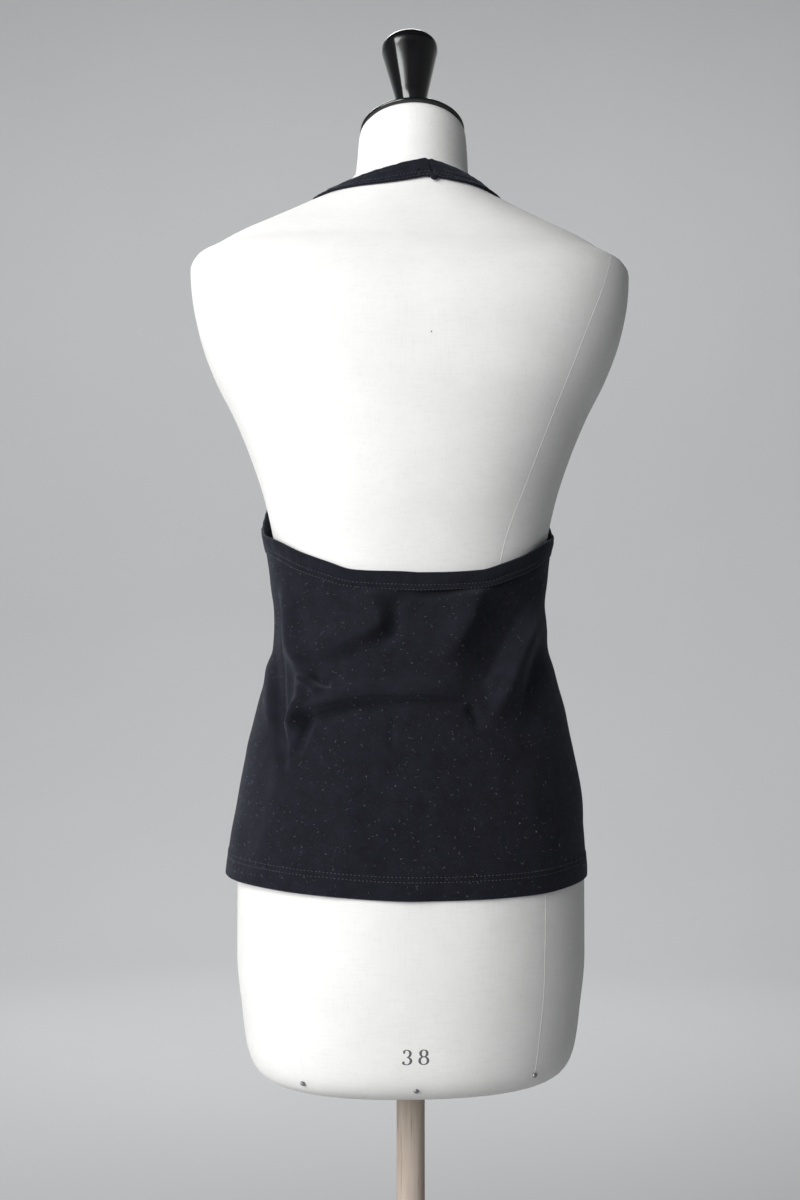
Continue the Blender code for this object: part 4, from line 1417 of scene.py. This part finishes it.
@dataclass
class Garment:
    """The halter neck top: two panels, bands along every edge, stitches and lint."""

    cloth: float = 0.0011
    hem_depth: float = 0.0195
    hem_extra: float = 0.0006
    hem_step: float = 0.0012
    hem_rows: tuple[float, float] = (0.0143, 0.0183)
    hem_groove: float = 0.00035
    hem_groove_width: float = 0.0007
    hem_pull: float = 0.00018
    hem_pull_wave: float = 0.0093
    hem_lines: int = 34
    edge_band: float = 0.016
    neck_band: float = 0.020
    tuck: float = 0.0040
    band_overlap: float = 0.001
    back_columns: int = 212
    back_rows: int = 212
    front_columns: int = 170
    side_rows: int = 130
    armhole_rows: int = 120
    hem_blend: float = 0.03
    least_room: float = 0.0008
    fold_gain: float = 2.1
    held_top: float = 0.010
    held_side: float = 0.016
    seam_sink: float = 0.0007
    seam_sink_width: float = 0.0016
    band_lift: float = 0.0005
    band_lift_width: float = 0.004
    neck_seam_aside: float = 0.0150
    neck_narrowing: float = 0.25
    narrow_to: float = 30.0
    narrow_over: float = 60.0
    lint_density: float = 12000.0
    lint_length: float = 0.0011
    lint_thickness: float = 0.000026

    def __post_init__(self) -> None:
        """Lay out the lines of the cut."""
        self.edge = line_through(EDGE_ROWS)
        self.under_edge = shifted(self.edge, self.edge_band - self.tuck)
        self.neck_right, self.neck_left = line_through(NECK_RIGHT_ROWS), line_through(NECK_LEFT_ROWS)
        self.waves_back = Waves(41, 26, 0.028, 0.085, 0.00042)
        self.waves_front = Waves(43, 26, 0.030, 0.090, 0.00036)
        self.stitches = StitchTree()
        self.jersey = Jersey().material()
        self.thread = Thread().material()

    def relief(self, turn: np.ndarray, height: np.ndarray, folds: Sequence[Fold], waves: Waves,
               calm: np.ndarray) -> np.ndarray:
        """Return how far the cloth's inner face stands off its smooth course.

        Args:
            turn: of the places.
            height: of the places.
            folds: the panel's folds.
            waves: the panel's unevenness.
            calm: 0 where the cloth is held by a seam, up to 1 where it is free.

        Returns:
            The lift at each place.
        """
        x = BODY.point(turn, height)[..., 0]
        lift = self.fold_gain * sum(fold.lift_at(x, height) for fold in folds) + waves.lift_at(x, height)
        lift = lift * calm
        room = np.maximum(BODY.room(turn, height) - self.least_room, 1e-5)
        return np.where(lift < 0, -room * np.tanh(-lift / room), lift)

    def hem_relief(self, rise: np.ndarray, along: np.ndarray) -> np.ndarray:
        """Return the outer face's extra height near the hem."""
        turned_up = self.hem_extra * (1 - eased((rise - self.hem_depth) / self.hem_step))
        pull = self.hem_pull * np.sin(along * math.tau / self.hem_pull_wave)
        pull = pull * bell(rise - self.hem_rows[1], 0.004)
        grooves = sum(self.hem_groove * bell(rise - row, self.hem_groove_width) for row in self.hem_rows)
        return turned_up - grooves + pull

    def panel(self, name: str, node: str, grid: np.ndarray, folds: Sequence[Fold], waves: Waves) -> tuple:
        """Build a panel from its grid of turns and heights.

        Args:
            name: of the piece.
            node: the CAD node that it stands for.
            grid: turns and heights, by row and column.
            folds: the panel's folds.
            waves: its unevenness.

        Returns:
            The piece, its outer points, its ways out and its points' heights over the hem.
        """
        turn, height = grid[..., 0], grid[..., 1]
        points, normal = BODY.point(turn, height), BODY.normal(turn, height)
        up, along = run_along(points), run_along(points, 1)
        along -= along[:, grid.shape[1] // 2][:, None]
        from_top = up[-1] - up
        from_side = np.minimum(along[:, -1:] - along, along - along[:, :1])
        calm = eased(from_top / self.held_top) * (0.35 + 0.65 * eased(from_side / self.held_side))
        lift = self.relief(turn, height, folds, waves, calm)
        rise = height - BODY.hem_at(turn)[..., 0]
        seam = np.clip(1 - from_side / self.seam_sink_width, 0.0, 1.0)
        lift = lift + self.band_lift * (1 - eased(from_top / self.band_lift_width))
        top = lift + self.cloth + self.hem_relief(rise, along) - self.seam_sink * seam ** 2
        inner = points + normal * lift[..., None]
        outer = points + normal * top[..., None]
        piece = shell(name, outer, inner, np.stack((along, up), -1))
        dress(piece, self.jersey, Slot.JERSEY, node)
        return piece, outer, normal, rise

    def hem_stitches(self, outer: np.ndarray, normal: np.ndarray, rise: np.ndarray) -> list:
        """Sew the two rows round a panel's hem.

        Args:
            outer: the panel's outer points.
            normal: its ways out.
            rise: its points' heights over the hem.

        Returns:
            The rows.
        """
        sewn = []
        for seed, row in enumerate(self.hem_rows):
            k = np.argmin(np.abs(rise - row), axis=0)
            columns = np.arange(outer.shape[1])
            below = np.where(rise[k, columns] > row, k - 1, k)
            part = (row - rise[below, columns]) / (rise[below + 1, columns] - rise[below, columns])
            path = outer[below, columns] + (outer[below + 1, columns] - outer[below, columns]) * part[:, None]
            sewn.append(self.stitches.sew("hem_row", path, normal[below, columns], seed + 9, self.thread))
        return sewn

    def heights_up(self, turn: np.ndarray, top: np.ndarray, count: int) -> np.ndarray:
        """Return rows of heights up a panel, close together over the hem.

        Args:
            turn: of the columns.
            top: the columns' highest places.
            count: of rows.

        Returns:
            Heights, by row and column.
        """
        low = np.linspace(0, HEM_BAND, self.hem_lines)[:, None] + BODY.hem_at(turn)[..., 0]
        share = np.linspace(0, 1, count - self.hem_lines + 1)[1:]
        return np.vstack((low, low[-1] + (top - low[-1]) * share[:, None]))

    def back(self) -> tuple:
        """Build the back panel."""
        half = self.under_edge[self.under_edge[:, 0] > 0][::-1]
        half = np.vstack(((0.0, half[0, 1]), half))
        top = evened(np.vstack((half, mirrored(half)[1:])), self.back_columns)
        heights = self.heights_up(top[:, 0], top[:, 1], self.back_rows)
        grid = np.stack((np.repeat(top[None, :, 0], len(heights), axis=0), heights), -1)
        return self.panel("back_panel_cloth", "back_panel", grid, BACK_FOLDS, self.waves_back)

    def front(self) -> tuple:
        """Build the front panel, between the side seams, the armholes and the neckline."""
        neck = shifted(self.neck_right, self.neck_half(self.neck_right) - self.tuck)
        armhole = self.under_edge[self.under_edge[:, 0] < 0]
        armhole_end, neck_end = crossing(armhole, neck)
        armhole = np.vstack(((0.0, armhole[0, 1]), armhole[:armhole_end + 1]))
        neck = neck[neck_end:][::-1]
        low = self.heights_up(np.zeros(1), armhole[0, 1:], self.side_rows)[:, 0]
        sides = evened(armhole, self.armhole_rows)[1:]
        edge = np.vstack((np.column_stack((np.zeros_like(low), low)), sides))
        mirror = np.column_stack((-180 - neck[:, 0], neck[:, 1]))[::-1]
        neck = evened(np.vstack((mirror, neck[1:])), self.front_columns)
        corner_turn, corner_height = neck[-1]
        seam_foot = BODY.hem_at(np.zeros(1))[0, 0]
        climb = np.linspace(0, 1, len(edge))[:, None]
        across = np.linspace(-1, 1, len(neck))[None, :]
        bent = neck[None, :, 0] + 90 - across * (corner_turn + 90)
        turn = -90 + across * (edge[:, :1] + 90) + climb * bent
        dropped = BODY.hem_at(turn)[..., 0] - seam_foot
        over_hem = edge[:, 1:] - seam_foot < HEM_BAND
        blend = np.where(over_hem, 0.0, eased((edge[:, 1:] - seam_foot - HEM_BAND) / self.hem_blend))
        height = edge[:, 1:] + climb * (neck[None, :, 1] - corner_height) * blend
        height = height + np.where(over_hem, 1.0, (1 - climb)) * dropped
        return self.panel("front_panel_cloth", "front_panel", np.stack((turn, height), -1),
                          FRONT_FOLDS, self.waves_front)

    def bands(self) -> tuple[list, list]:
        """Build the bands; return their pieces and the rows of stitches on them."""
        edge_inner = shifted(self.edge, self.edge_band)
        neck_lower = shifted(self.neck_right, self.neck_half(self.neck_right) - self.band_overlap)
        outer, inner = (line[line[:, 0] >= 0][::-1] for line in (self.edge, edge_inner))
        cut = [("back_band_cloth", "back_band", np.vstack((outer, mirrored(outer)[1:])),
                np.vstack((inner, mirrored(inner)[1:])))]
        outer, inner = (line[line[:, 0] <= 0] for line in (self.edge, edge_inner))
        outer, inner = (line[:crossing(line, neck_lower)[0]] for line in (outer, inner))
        cut.append(("armhole_band_left_cloth", "armhole_band_left", outer, inner))
        cut.append(("armhole_band_right_cloth", "armhole_band_right", mirrored(outer), mirrored(inner)))
        made, sewn = [], []
        for band in [StitchedBand(*lines, self.edge_band) for lines in cut] + [self.neck()]:
            piece, rows = band.build(self.thread, self.stitches)
            dress(piece, self.jersey, Slot.JERSEY, band.node)
            made.append(piece)
            sewn += rows
        return made, sewn

    def neck_half(self, line: np.ndarray) -> np.ndarray:
        """Return half the neck band's width along a line, full behind and less at the sides."""
        loss = self.neck_narrowing * (1 - eased((line[:, 0] - self.narrow_to) / self.narrow_over))
        return self.neck_band / 2 * (1 - loss)

    def neck(self) -> StitchedBand:
        """Lay out the neck band, a closed ring from the centre front round the back."""
        def ring(hand: int) -> np.ndarray:
            """Return the band's upper (-1) or lower (1) edge."""
            right = shifted(self.neck_right, hand * self.neck_half(self.neck_right))
            right = np.column_stack((180 - right[:, 0], right[:, 1]))
            left = shifted(self.neck_left, hand * self.neck_half(self.neck_left))[::-1]
            return np.vstack((left, right[1:]))

        upper, lower = ring(-1), ring(1)
        centre = float(lengths(upper)[len(self.neck_left) - 1])
        return StitchedBand("neck_band_cloth", "neck_band", upper, lower, self.neck_band, closed=True,
                            rows=(0.0146, 0.0184), pitch=0.0011, seam_at=centre + self.neck_seam_aside)

    def nub(self, band: StitchedBand) -> bpy.types.Object:
        """Make the end of the neck seam's allowance, which stands out below the band."""
        across = band.across()
        base, normal, reach = band.base(across)
        k = int(np.argmin(np.abs(reach - band.seam_at - band.width / 2 * band.seam_slant)))
        down = unit(base[k, -1] - base[k, 0])
        beside = np.cross(normal[k, -1], down)
        rings = []
        for part in np.linspace(0, 1, 9):
            centre = base[k, -1] + down * (0.0056 * part - 0.0018) + normal[k, -1] * (0.0014 + 0.0004 * part)
            size = 0.0034 * math.sqrt(max(1 - part ** 2.4, 0.02))
            ring = [centre + beside * (size * math.cos(a)) + normal[k, -1] * (size * 0.62 * math.sin(a))
                    for a in np.linspace(0, math.tau, 12, endpoint=False)]
            rings.append(ring)
        chart = np.zeros((9, 13, 2))
        chart[..., 0], chart[..., 1] = np.arange(13) * 0.0008, np.arange(9)[:, None] * 0.0005
        return tube("neck_seam_nub", np.array(rings), chart, False)

    def lint(self, outer: np.ndarray, name: str, seed: int) -> bpy.types.Object:
        """Scatter lint over a panel's outer face.

        Args:
            outer: the face's points, by row and column.
            name: of the lint.
            seed: of its places.

        Returns:
            The lint.
        """
        faces = grid_faces(*outer.shape[:2])
        first = np.cross(outer[0, 1] - outer[0, 0], outer[1, 0] - outer[0, 0])
        centre = outer.reshape(-1, 3).mean(axis=0)
        if np.dot(first, outer[0, 0] - centre * (1, 1, 0) - (0, 0, outer[0, 0, 2])) < 0:
            faces = faces[:, ::-1]
        carrier = new_object("lint_bed", outer.reshape(-1, 3), faces.tolist())
        return LintTree().run(carrier, name, Density=self.lint_density, Length=self.lint_length,
                              Thickness=self.lint_thickness, Seed=seed, Material=Lint().material())

    def build(self) -> None:
        back, back_outer, back_out, back_rise = self.back()
        front, front_outer, front_out, front_rise = self.front()
        hem = joined(self.hem_stitches(back_outer, back_out, back_rise), "back_hem_stitches")
        front_hem = joined(self.hem_stitches(front_outer, front_out, front_rise), "front_hem_stitches")
        bands, rows = self.bands()
        edge_rows = joined(rows, "band_stitches")
        for piece in (hem, front_hem, edge_rows):
            dress(piece, self.thread, Slot.JERSEY)
        nub = self.nub(self.neck())
        dress(nub, self.jersey, Slot.JERSEY)
        lint_back = self.lint(back_outer, "lint_back", 5)
        lint_front = self.lint(front_outer, "lint_front", 8)
        for piece in (lint_back, lint_front):
            dress(piece, piece.data.materials[0], Slot.JERSEY)
        self.declare(back)
        self.declare(front)
        for band in bands:
            self.declare(band)

    def declare(self, piece: bpy.types.Object) -> None:
        """State a cloth piece's flat size, which follows from its area and longest run."""
        mesh = piece.data
        layer = mesh.uv_layers["weave"].uv
        places = np.zeros(len(layer) * 2, dtype=np.float32)
        layer.foreach_get("vector", places)
        places = places.reshape(-1, 2)
        width, length = np.ptp(places, axis=0)
        area = sum(face.area for face in mesh.polygons) / 2
        if "band" in piece.name:
            length = area / float(width)
        LOG.info("%s is cut %.0f by %.0f mm", piece.name, width / MM, length / MM)


# ---------------------------------------------------------------- the dress form
@dataclass
class DressForm:
    """The padded form: its linen skin, welted seams, printed size and nails."""

    columns: int = 288
    rows: int = 250
    number_x: float = 0.0060
    number_height: float = 0.0440
    digit_pitch: float = 0.0138
    digit_size: float = 0.0126
    print_over: float = 0.00009
    print_under: float = 0.00012
    pin_place: tuple[float, float] = (-0.009, 0.640)
    welt_radius: float = 0.00048
    welt_pitch: float = 0.004
    welt_sunk: float = 0.62
    seam_foot: float = 0.0175
    seam_top: float = 0.742
    centre_top: float = 0.775
    side_seam: tuple[float, float] = (0.004, 0.640)
    seam_points: int = 300
    fine_rows: int = 3000
    fine_columns: int = 4001
    guides: tuple[float, float] = (12.0, 90.0)
    chart_height: float = 0.30

    def skin(self) -> bpy.types.Object:
        """Make the closed skin from its sections."""
        fine = np.linspace(0, FORM_ROWS[-1].height, self.fine_rows)
        courses = [BODY.point(np.full_like(fine, turn), fine, False) for turn in self.guides]
        step = np.linalg.norm(np.diff(courses, axis=1), axis=2).max(axis=0)
        reach = np.concatenate(((0.0,), np.cumsum(step)))
        heights = np.interp(np.linspace(0, reach[-1], self.rows), reach, fine)
        dense = np.linspace(0, 360, self.fine_columns)
        ring = BODY.point(dense, np.full_like(dense, self.chart_height), False)
        around = run_along(ring)
        turns = np.interp(np.linspace(0, around[-1], self.columns + 1), around, dense)[:-1]
        turn, height = np.meshgrid(turns, heights)
        rings = BODY.point(turn, height, False)
        u = np.linspace(0, around[-1], self.columns + 1)
        v = np.interp(heights, fine, reach)
        chart = np.stack(np.meshgrid(u, v), -1)
        return tube("form_skin", rings, chart, False)

    def seam_paths(self) -> list[tuple[np.ndarray, np.ndarray, bool]]:
        """Return the welted seams as distances from the centre line and heights."""
        princess = SmoothTable((
            (0.018, 0.0960), (0.100, 0.1030), (0.170, 0.1040), (0.250, 0.0930), (0.330, 0.0780),
            (0.410, 0.0670), (0.460, 0.0740), (0.520, 0.0950), (0.600, 0.1260), (0.660, 0.1500),
            (0.700, 0.1660), (0.730, 0.1740), (0.742, 0.1560)))
        bust = SmoothTable((
            (0.018, 0.0960), (0.100, 0.1000), (0.200, 0.0930), (0.330, 0.0700), (0.410, 0.0600),
            (0.525, 0.0750), (0.620, 0.0820), (0.700, 0.0950), (0.742, 0.1120), (0.750, 0.1150)))
        paths = []
        heights = np.linspace(self.seam_foot, self.seam_top, self.seam_points)
        for hand in (1, -1):
            paths.append((hand * princess(heights)[:, 0], heights, True))
            paths.append((hand * bust(heights)[:, 0], heights, False))
        centre = np.linspace(self.seam_foot, self.centre_top, self.seam_points)
        paths.append((np.zeros_like(centre), centre, False))
        return paths

    def seams(self, linen: bpy.types.Material) -> bpy.types.Object:
        """Run a fine welt along each seam."""
        tree, welts = WeltTree(), []
        for x, height, behind in self.seam_paths():
            turn = BODY.turn_at(x, height, behind)
            welts.append(self.welt(tree, turn, height, linen))
        for turn in (0.0, 180.0):
            height = np.linspace(*self.side_seam, self.seam_points)
            welts.append(self.welt(tree, np.full_like(height, turn), height, linen))
        return joined(welts, "form_seams")

    def welt(self, tree: WeltTree, turn: np.ndarray, height: np.ndarray,
             linen: bpy.types.Material) -> bpy.types.Object:
        """Run one welt, most of it sunk in the skin.

        Args:
            tree: what lays it.
            turn: of the places along it.
            height: of the places along it.
            linen: its finish.

        Returns:
            The welt.
        """
        points, out = BODY.point(turn, height, False), BODY.normal(turn, height, False)
        carrier = path_carrier(points - out * (self.welt_radius * self.welt_sunk), out)
        return tree.run(carrier, "welt", Radius=self.welt_radius, Pitch=self.welt_pitch, Material=linen)

    def figure(self, name: str, strokes: Sequence[np.ndarray], centre: float) -> list[bpy.types.Object]:
        """Lay a figure's strokes on the skin, as thin as print.

        Args:
            name: of the pieces.
            strokes: rows of (right, up, half-width) in parts of the figure's height.
            centre: distance of its middle from the centre line.

        Returns:
            The strokes' pieces.
        """
        pieces = []
        for stroke in strokes:
            line, half = stroke[:, :2] * self.digit_size, stroke[:, 2] * self.digit_size
            ahead = np.gradient(line, axis=0)
            aside = unit(np.column_stack((-ahead[:, 1], ahead[:, 0])))
            across = np.array((-1.0, -0.4, 0.4, 1.0))[None, :, None]
            flat = line[:, None] + aside[:, None] * half[:, None, None] * across
            height = self.number_height + flat[..., 1]
            turn = BODY.turn_at(centre - flat[..., 0], height, True)
            points, out = BODY.point(turn, height, False), BODY.normal(turn, height, False)
            pieces.append(shell(name, points + out * self.print_over, points - out * self.print_under, flat))
        return pieces

    @staticmethod
    def bowl(centre: tuple, radii: tuple, start: float, stop: float, thin: float = 0.020,
             thick: float = 0.078) -> np.ndarray:
        """Return a round stroke that is thick where it runs upright.

        Args:
            centre: of the bowl.
            radii: across and up.
            start: angle in degrees.
            stop: angle in degrees.
            thin: half-width where the stroke runs level.
            thick: half-width where it runs upright.

        Returns:
            Rows of (right, up, half-width).
        """
        angle = np.radians(np.linspace(start, stop, 60))
        upright = np.abs(np.cos(angle)) ** 1.6
        return np.column_stack((centre[0] + radii[0] * np.cos(angle), centre[1] + radii[1] * np.sin(angle),
                                thin + (thick - thin) * upright))

    @staticmethod
    def ball(x: float, y: float, radius: float) -> np.ndarray:
        """Return a round end as a short fat stroke.

        Args:
            x: its middle, to the right.
            y: its middle, up.
            radius: its size.

        Returns:
            Rows of (right, up, half-width).
        """
        across = np.linspace(-0.98, 0.98, 16)
        return np.column_stack((x + across * radius, np.full(16, y), radius * np.sqrt(1 - across ** 2)))

    def number(self) -> bpy.types.Object:
        """Print the size number."""
        three = (
            self.bowl((0.00, 0.245), (0.225, 0.235), 150, -80),
            self.bowl((-0.01, -0.235), (0.275, 0.245), 88, -152),
            self.ball(-0.175, 0.325, 0.068),
            self.ball(-0.215, -0.330, 0.072),
        )
        eight = (
            self.bowl((0.00, 0.255), (0.215, 0.225), 0, 360),
            self.bowl((0.00, -0.225), (0.270, 0.255), 0, 360),
        )
        pieces = self.figure("figure", three, self.number_x + self.digit_pitch / 2)
        pieces += self.figure("figure", eight, self.number_x - self.digit_pitch / 2)
        ink = Ink().material()
        for piece in pieces:
            piece.data.materials.append(ink)
        return joined(pieces, "size_number")

    def pin_mark(self) -> bpy.types.Object:
        """Put a small grey dot of print ink on the back as painted shade for a pin's hole."""
        x, height = (np.array([place]) for place in self.pin_place)
        turn = BODY.turn_at(x, height, True)
        point, out = BODY.point(turn, height, False)[0], BODY.normal(turn, height, False)[0]
        dome = [Turn(0, 0.00012), Turn(0.0005, 0.0001), Turn(0.0007, 0.0), Turn(0.0005, -0.0002),
                Turn(0, -0.0003)]
        stand = Matrix.Translation(point) @ Vector(out).to_track_quat("Z", "Y").to_matrix().to_4x4()
        return turned("pin_mark", dome, 12, stand)

    def build(self) -> None:
        """Build the form."""
        linen = Linen().material()
        dress(self.skin(), linen, Slot.LINEN, "dress_form")
        dress(self.seams(linen), linen, Slot.LINEN)
        ink = Ink().material()
        dress(self.number(), ink, Slot.LINEN)
        # the pin hole's dark dot is painted shade, made with the print ink
        dress(self.pin_mark(), ink, Slot.LINEN)
        steel = Steel().material()
        for name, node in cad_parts.items():
            if name.startswith("nail_"):
                node.data.materials.clear()
                node.data.materials.append(steel)
                LOG.info("%s keeps its shape", name)


# ---------------------------------------------------------------- the stand
@dataclass
class Stand:
    """The lacquered cap and finial on the neck, and the wooden pole and foot."""

    cap_radius: float = 0.0480
    cap_thickness: float = 0.0035
    finial_length: float = 0.098
    gap: float = 0.0003
    pole_radius: float = 0.0125
    base_radius: float = 0.180
    base_thickness: float = 0.025
    hub_radius: float = 0.030
    hub_height: float = 0.018
    hub_round: float = 0.004
    hub_fillet: float = 0.003
    pole_chamfer: float = 0.0006
    pole_end: float = 0.05

    def seat(self, above: float) -> Matrix:
        """Return the matrix of a place above the tilted neck's top."""
        normal = Vector((0, -math.sin(NECK_TILT), math.cos(NECK_TILT)))
        top = Vector(BODY.tipped(np.zeros(1), np.zeros(1), np.array([FORM_ROWS[-1].height]))[0])
        turn = normal.to_track_quat("Z", "Y").to_matrix().to_4x4()
        return Matrix.Translation(top + normal * above) @ turn

    def finial(self) -> bpy.types.Object:
        """Turn the finial, a slim cone on its point with a domed top."""
        profile = SmoothTable((
            (0.000, 0.0095), (0.080, 0.0092), (0.365, 0.0146), (0.860, 0.0251), (0.915, 0.0262),
            (0.944, 0.0262), (0.968, 0.0250), (0.986, 0.0215), (0.996, 0.0150), (1.000, 0.0000)))
        heights = np.concatenate((np.linspace(0, 0.9, 40), 1 - 0.1 * np.linspace(1, 0, 40)[1:] ** 2))
        line = [Turn(float(profile(h)[0]), float(h) * self.finial_length) for h in heights[::-1]]
        line[0] = Turn(0.0, self.finial_length)
        seat = self.seat(self.cap_thickness + 2 * self.gap)
        return turned("neck_finial_turned", line + [Turn(0, 0)], 128, seat)

    def cap(self) -> bpy.types.Object:
        """Turn the neck's flat cap."""
        edge = self.cap_thickness / 2
        rim = arc(Turn(self.cap_radius - edge, edge), edge, 90, -90, 13)
        profile = [Turn(0, self.cap_thickness)] + rim + [Turn(0, 0)]
        return turned("neck_cap_turned", profile, 128, self.seat(self.gap))

    def base(self) -> bpy.types.Object:
        """Turn the round foot with its hub."""
        edge = self.base_thickness / 2
        hub_top = self.base_thickness + self.hub_height
        profile = [Turn(0, hub_top)]
        over, under = self.hub_round, self.hub_fillet
        profile += arc(Turn(self.hub_radius - over, hub_top - over), over, 90, 0, 6)
        profile += arc(Turn(self.hub_radius + under, self.base_thickness + under), under, 180, 270, 6)
        profile += arc(Turn(self.base_radius - edge, edge), edge, 90, -90, 17)
        return turned("stand_base_turned", profile + [Turn(0, 0)], 144, Matrix.Identity(4))

    def pole(self) -> bpy.types.Object:
        """Turn the pole between the foot and the form."""
        foot = self.base_thickness + self.hub_height + self.gap
        top = FOOT - self.gap
        profile = [Turn(0, top), Turn(self.pole_radius - self.pole_chamfer, top),
                   Turn(self.pole_radius, top - self.pole_chamfer)]
        profile += [Turn(self.pole_radius, height)
                    for height in np.linspace(top - self.pole_end, foot + self.pole_end, 12)]
        profile += [Turn(self.pole_radius, foot), Turn(0, foot)]
        return turned("stand_pole_turned", profile, 64, Matrix.Identity(4))

    def build(self) -> None:
        """Build the stand and what is on the neck."""
        lacquer = Lacquer().material()
        dress(self.cap(), lacquer, Slot.LACQUER, "neck_cap")
        dress(self.finial(), lacquer, Slot.LACQUER, "neck_finial")
        dress(self.pole(), Wood("pole_beech", (1.0, 1.0, 0.05)).material(), Slot.WOOD, "stand_pole")
        dress(self.base(), Wood("foot_beech", (0.05, 1.0, 1.0)).material(), Slot.WOOD, "stand_base")


# ---------------------------------------------------------------- the studio
@dataclass
class Studio:
    """A pale cove, soft lights and the camera."""

    distance: float = 1.346
    swing: float = math.radians(4.8)
    height: float = 0.357
    lens: float = 45.0
    sensor: float = 36.0
    slope_aside: float = 0.007
    slope_up: float = 0.0466667
    cove_radius: float = 6.5
    cove_bend: float = 2.5
    cove_top: float = 6.0
    air_tint: tuple = (0.80, 0.82, 0.85, 1.0)
    air_strength: float = 0.055

    def cove(self) -> None:
        """Make the floor, which curves up far away."""
        radius, bend = self.cove_radius, self.cove_bend
        profile = [Turn(radius, self.cove_top), Turn(radius, bend + 0.8)]
        profile += arc(Turn(radius - bend, bend), bend, 0, -90, 16)
        profile.append(Turn(0, 0))
        floor = turned("studio_floor", profile, 96, Matrix.Identity(4))
        floor.data.flip_normals()
        floor.data.materials.append(Backdrop().material())

    @staticmethod
    def light(name: str, place: tuple, aim: tuple, size: tuple, power: float) -> None:
        """Hang one soft white light.

        Args:
            name: of the light.
            place: where it hangs.
            aim: the place that it faces.
            size: its width and height.
            power: in watts.
        """
        lamp = bpy.data.lights.new(name, "AREA")
        lamp.shape = "RECTANGLE"
        lamp.size, lamp.size_y = size
        lamp.energy = power
        item = put(name, lamp)
        item.location = place
        item.rotation_euler = (Vector(aim) - Vector(place)).to_track_quat("-Z", "Y").to_euler()

    def camera(self) -> None:
        """Stand the camera behind the form, a little to its left."""
        lens = bpy.data.cameras.new("camera")
        lens.sensor_width = self.sensor
        lens.lens = self.lens
        item = put("camera", lens)
        place = Vector((math.sin(self.swing), math.cos(self.swing), 0)) * self.distance
        place.z = FOOT + self.height
        ahead = Vector((-place.x, -place.y, 0)).normalized()
        right = ahead.cross(Vector((0, 0, 1)))
        ahead = (ahead - right * self.slope_aside).normalized()
        pitch = math.atan(self.slope_up)
        ahead = ahead * math.cos(pitch) + Vector((0, 0, 1)) * math.sin(pitch)
        item.location = place
        item.rotation_euler = ahead.to_track_quat("-Z", "Y").to_euler()
        bpy.context.scene.camera = item

    def build(self) -> None:
        """Set up the studio."""
        self.cove()
        self.light("key_light", (1.90, 1.78, 1.95), (0.0, 0.0, 1.15), (2.1, 2.0), 113.0)
        self.light("front_light", (0.5, -3.2, 4.3), (0.0, 0.0, 1.1), (2.4, 1.2), 74.0)
        self.light("backdrop_light", (0.0, -2.2, 3.6), (0.0, -6.5, 1.4), (4.0, 2.0), 190.0)
        self.light("far_light", (0.0, 3.2, 4.4), (0.0, 6.5, 1.6), (4.0, 2.0), 60.0)
        world = bpy.data.worlds.new("studio_air")
        world.use_nodes = True
        air = world.node_tree.nodes["Background"]
        air.inputs["Color"].default_value = self.air_tint
        air.inputs["Strength"].default_value = self.air_strength
        bpy.context.scene.world = world
        bpy.context.scene.view_settings.view_transform = "Standard"
        self.camera()


def main() -> None:
    """Build the scene."""
    logging.basicConfig(level=logging.INFO, format="%(name)s %(message)s")
    Studio().build()
    DressForm().build()
    Stand().build()
    Garment().build()


if __name__ == "__main__":
    main()
